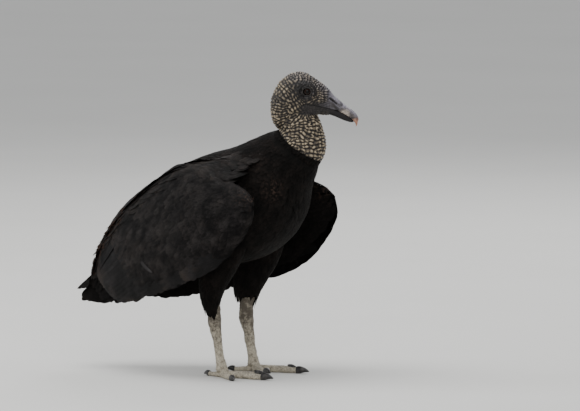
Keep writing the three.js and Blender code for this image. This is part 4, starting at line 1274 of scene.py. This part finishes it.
for name, side in SIDES.items():
    backwards = WING_LIE * (1, side, 1)

    def outer(share, across):
        return on_blade(WING, side, share, across, 1)

    def inner(share, across):
        return on_blade(WING, side, share, across, -1)

    def hand(share, across):
        return on_blade(PRIMARIES, side, share, across, 1)

    # Coverts, small at the wrist and longer behind it.
    sets = []
    share, across = rows_on(outer, 0.01, 0.40, lambda s: 3.2 + 5 * s, lambda s: 3.6 + 6 * s, (0.05, 0.96))
    size = 0.62 + 1.6 * share
    sets.append(vanes(outer, share, across, wing_lie(outer, backwards, share, across), 19 * size, 9.5 * size,
                      deep=1.5, sink=1.7, ragged=0.25, roll=0.08 * rng.standard_normal(len(share)),
                      thick=0.5, lift=0.4, within=(0.03, 0.96)))
    share, across = rows_on(outer, 0.36, 0.70, 8, 8.5, (0.05, 0.90))
    behind = ease(share, 0.36, 0.6)
    sets.append(vanes(outer, share, across, wing_lie(outer, backwards, share, across, 0.05),
                      25 + 25 * behind, 15 + 7 * behind, **COVERT, deep=1.0, sink=1.8, ragged=0.15,
                      roll=0.07 * rng.standard_normal(len(share)), camber=0.1, taper=0.6, lift=0.4,
                      quill=0.12, within=(0.03, 0.92)))
    # The outermost ones lie along the borders and give the wing its even edge.
    share = np.concatenate([np.linspace(0.0, 0.66, BORDER), np.linspace(0.0, 0.80, BORDER),
                            np.full(AT_WRIST, -0.01)])
    across = np.concatenate([np.full(BORDER, 0.975), np.full(BORDER, 0.02), np.linspace(0.1, 0.9, AT_WRIST)])
    across = across + 0.008 * rng.standard_normal(len(share))
    _, by_share, _, normal = frame_at(outer, share, across)
    lie = turned_about(unit(by_share), normal, 0.04 * rng.standard_normal(len(share)))
    sets.append(vanes(outer, share, across, lie, 13 + 34 * share, 8 + 7 * share, **COVERT, deep=0.5,
                      sink=0.8, lift=-0.2, camber=0.12, ragged=0.1, stem=0.7, within=(0.0, 0.99)))
    coat(f"feathers_wing_coverts_{name}", sets, wing_black, [f"wing_{name}"])

    # Flight feathers: each ends at its own place along the hanging edge and round the wing's end.
    along_edge = np.concatenate([np.linspace(0.56, 0.93, ARM), np.linspace(0.952, 0.982, HAND)])
    down_edge = np.concatenate([np.linspace(0.95, 0.93, ARM), np.linspace(0.88, 0.22, HAND)])
    down_edge = down_edge + 0.02 * (rng.random(ARM + HAND) - 0.5)
    broad = np.concatenate([np.full(ARM, 27), np.linspace(26, 19, HAND)])
    long = np.linspace(62, 124, ARM + HAND)
    lie = wing_lie(outer, backwards, along_edge, down_edge, 0.0)
    sets = [vanes(outer, along_edge, down_edge, lie, long, broad, **LONG_FEATHER, deep=1.5, sink=1.0,
                  lift=0.3, roll=-0.08 * side, camber=0.03, taper=0.86, ragged=0.15)]
    # The innermost ones run along the upper border, each shorter than the one it lies over.
    along_edge, down_edge = np.linspace(0.985, 0.80, INNERMOST), np.linspace(0.19, 0.03, INNERMOST)
    _, by_share, _, _ = frame_at(outer, along_edge, down_edge)
    sets.append(vanes(outer, along_edge, down_edge, by_share, 100, 23, **LONG_FEATHER, deep=1.5,
                      sink=np.linspace(0.8, 0.2, INNERMOST), lift=np.linspace(0.4, 1.0, INNERMOST),
                      roll=-0.06 * side, camber=0.06, taper=0.8, ragged=0.2))
    coat(f"feathers_flight_{name}", sets, flight_black, [f"wing_{name}"])

    # The longest ones show under the wing's end, as a bundle.
    along_hand, down_hand = np.linspace(0.72, 0.99, LONGEST), np.linspace(0.85, 0.35, LONGEST)
    _, by_share, _, _ = frame_at(hand, along_hand, down_hand)
    longest = vanes(hand, along_hand, down_hand, by_share, 105, 21, **LONG_FEATHER, deep=0, sink=0.5,
                    roll=-0.04 * side, camber=0.04, taper=0.86, ragged=0.12)
    coat(f"feathers_primaries_{name}", [longest], shaded_under_black, [f"primaries_{name}"])

    # One bent covert of the right wing lies across the others, curling forwards, and shows its pale side.
    if name == "right":
        def curled(share, across):
            return outer(share - 0.8 * (across - 0.68).clip(0) ** 2, across)

        share, across = np.array([0.712]), np.array([0.68])
        _, _, by_across, _ = frame_at(curled, share, across)
        bent = vanes(curled, share, across, unit(by_across), 28, 6, 12, 5, thick=0.5, deep=0.3, sink=-1.3,
                     lift=1.8, taper=0.2, camber=0.1, stem=0.8)
        coat("feather_bent", [bent], bent_grey, [f"wing_{name}"])

    # The lining: coverts of the side that lies against the body.
    share, across = rows_on(inner, 0.05, 0.93, lambda s: 4.2 + 7 * s, lambda s: 4.8 + 7 * s, (0.03, 0.92))
    size = 0.5 + 1.1 * share
    lining = vanes(inner, share, across, wing_lie(inner, backwards, share, across), 24 * size, 14 * size,
                   6, 5, deep=1.0, sink=1.5, ragged=0.25, roll=0.05 * rng.standard_normal(len(share)),
                   camber=0.1, within=(0.02, 0.93))
    coat(f"feathers_wing_lining_{name}", [lining], shaded_under_black, [f"wing_{name}"])

    # Shoulder feathers: a cape from the back's middle to a little way over the wing's upper border.
    def cape(share, across):
        over_trunk = 0.84 - 0.74 * share
        on_back = around_body(TRUNK, over_trunk, math.pi / 2 - side * (0.15 + 0.55 * (1 - 0.3 * share)))
        on_flank = around_body(TRUNK, over_trunk, math.pi / 2 - side * 1.1)
        on_wing = on_blade(WING, side, 0.12 + 0.83 * share, 0.15 * across ** 2, 1)
        behind, across = ease(share, 0.0, 0.2)[..., None], across[..., None]
        far = 1 - (1 - across).clip(0) ** 2  # level with the wing where it ends on it
        point, core = (back * (1 - far) + (flank * (1 - behind) + wing * behind) * far
                       for back, flank, wing in zip(on_back, on_flank, on_wing))
        rise = (5 * across * (1 - across) + 0.8) * behind
        return point + rise * unit(point - core), core

    share, across = rows_on(cape, 0.0, 0.85, lambda s: 6 + 4 * ease(s, 0, 0.3),
                            lambda s: 6 + 3 * ease(s, 0, 0.3), (0.0, 1.0))
    share = share + 0.05 * (rng.random(len(share)) - 0.5) * ease(share, 0.3, 0.0)
    _, by_share, _, normal = frame_at(cape, share, across)
    grown = ease(share, -0.02, 0.42)
    lie = turned_about(unit(by_share), normal, 0.06 * rng.standard_normal(len(share)))
    rooted = 4 * ease(share, 0.22, 0.0)
    broad_ones = vanes(cape, share, across, lie, 19 + 45 * grown, 9 + 12 * grown, 10, 5, deep=2 + rooted,
                       sink=2.0 + 0.6 * rooted, lift=0.2 - 0.25 * rooted, ragged=0.3, camber=0.1, taper=0.65,
                       quill=0.15, roll=0.05 * rng.standard_normal(len(share)) - 0.03 * side)
    coat(f"feathers_shoulder_{name}", [broad_ones], shoulder_black, ["trunk", f"wing_{name}"])

    # A ragged, sun-browned fringe along the upper border.
    share, across = 0.56 + 0.40 * rng.random(FRINGE), 0.01 + 0.13 * rng.random(FRINGE) ** 1.5
    _, by_share, _, normal = frame_at(outer, share, across)
    loose = ease(share, 0.52, 0.78)
    lie = turned_about(unit(by_share), normal, (0.35 * rng.standard_normal(FRINGE) - 0.2 * side) * loose)
    fringe = vanes(outer, share, across, lie, 9 + 8 * rng.random(FRINGE), 3.6, deep=1.0,
                   sink=0.3 - 0.7 * loose, lift=(0.8 + 2.0 * rng.random(FRINGE)) * loose, ragged=0.8,
                   roll=0.3 * rng.standard_normal(FRINGE), taper=0.2)
    coat(f"feathers_fringe_{name}", [fringe], fringe_brown, [f"wing_{name}"])

# ---------- Tail ----------
# Twelve stiff feathers in a closed fan, rooted in the rump under the wings' ends. The middle pair lies on
# top and the outer ones droop to each side.

TAIL_FEATHERS = 12
TAIL = {"root": (-138, 192), "tip": (-241, 102), "half": (17, 31), "thick": 5, "crown": 5}


def tail_form(share, across):
    """The tail's upper surface, from its root to its tip and across."""
    share, across = np.broadcast_arrays(share, across)
    half = TAIL["half"][0] + (TAIL["half"][1] - TAIL["half"][0]) * share
    fall = (2 * across - 1) ** 2
    depth = TAIL["thick"] / 2 * (1 - 0.6 * share)
    core = np.stack([TAIL["root"][0] + (TAIL["tip"][0] - TAIL["root"][0]) * share + fall * share ** 4 * 9,
                     (2 * across - 1) * half,
                     TAIL["root"][1] + (TAIL["tip"][1] - TAIL["root"][1]) * share + fall * share ** 4 * 8
                     - TAIL["crown"] * 0.6 * fall], -1)
    return core + np.stack([-0.66 * depth, depth * 0, 0.75 * depth], -1), core


tips = np.linspace(0.10, 0.90, TAIL_FEATHERS)
_, by_share, _, _ = frame_at(tail_form, np.full(TAIL_FEATHERS, 0.98), tips)
from_middle = np.abs(tips - 0.5)
tail_set = vanes(tail_form, np.full(TAIL_FEATHERS, 0.975), tips, by_share, 112, 15, **LONG_FEATHER, deep=0,
                 sink=0.3 + 5 * from_middle, lift=-3.5 * from_middle, roll=-0.08 * np.sign(tips - 0.5),
                 camber=0.04, taper=0.9, ragged=0.15)
coat("feathers_tail", [tail_set], shaded_under_black, ["tail"])
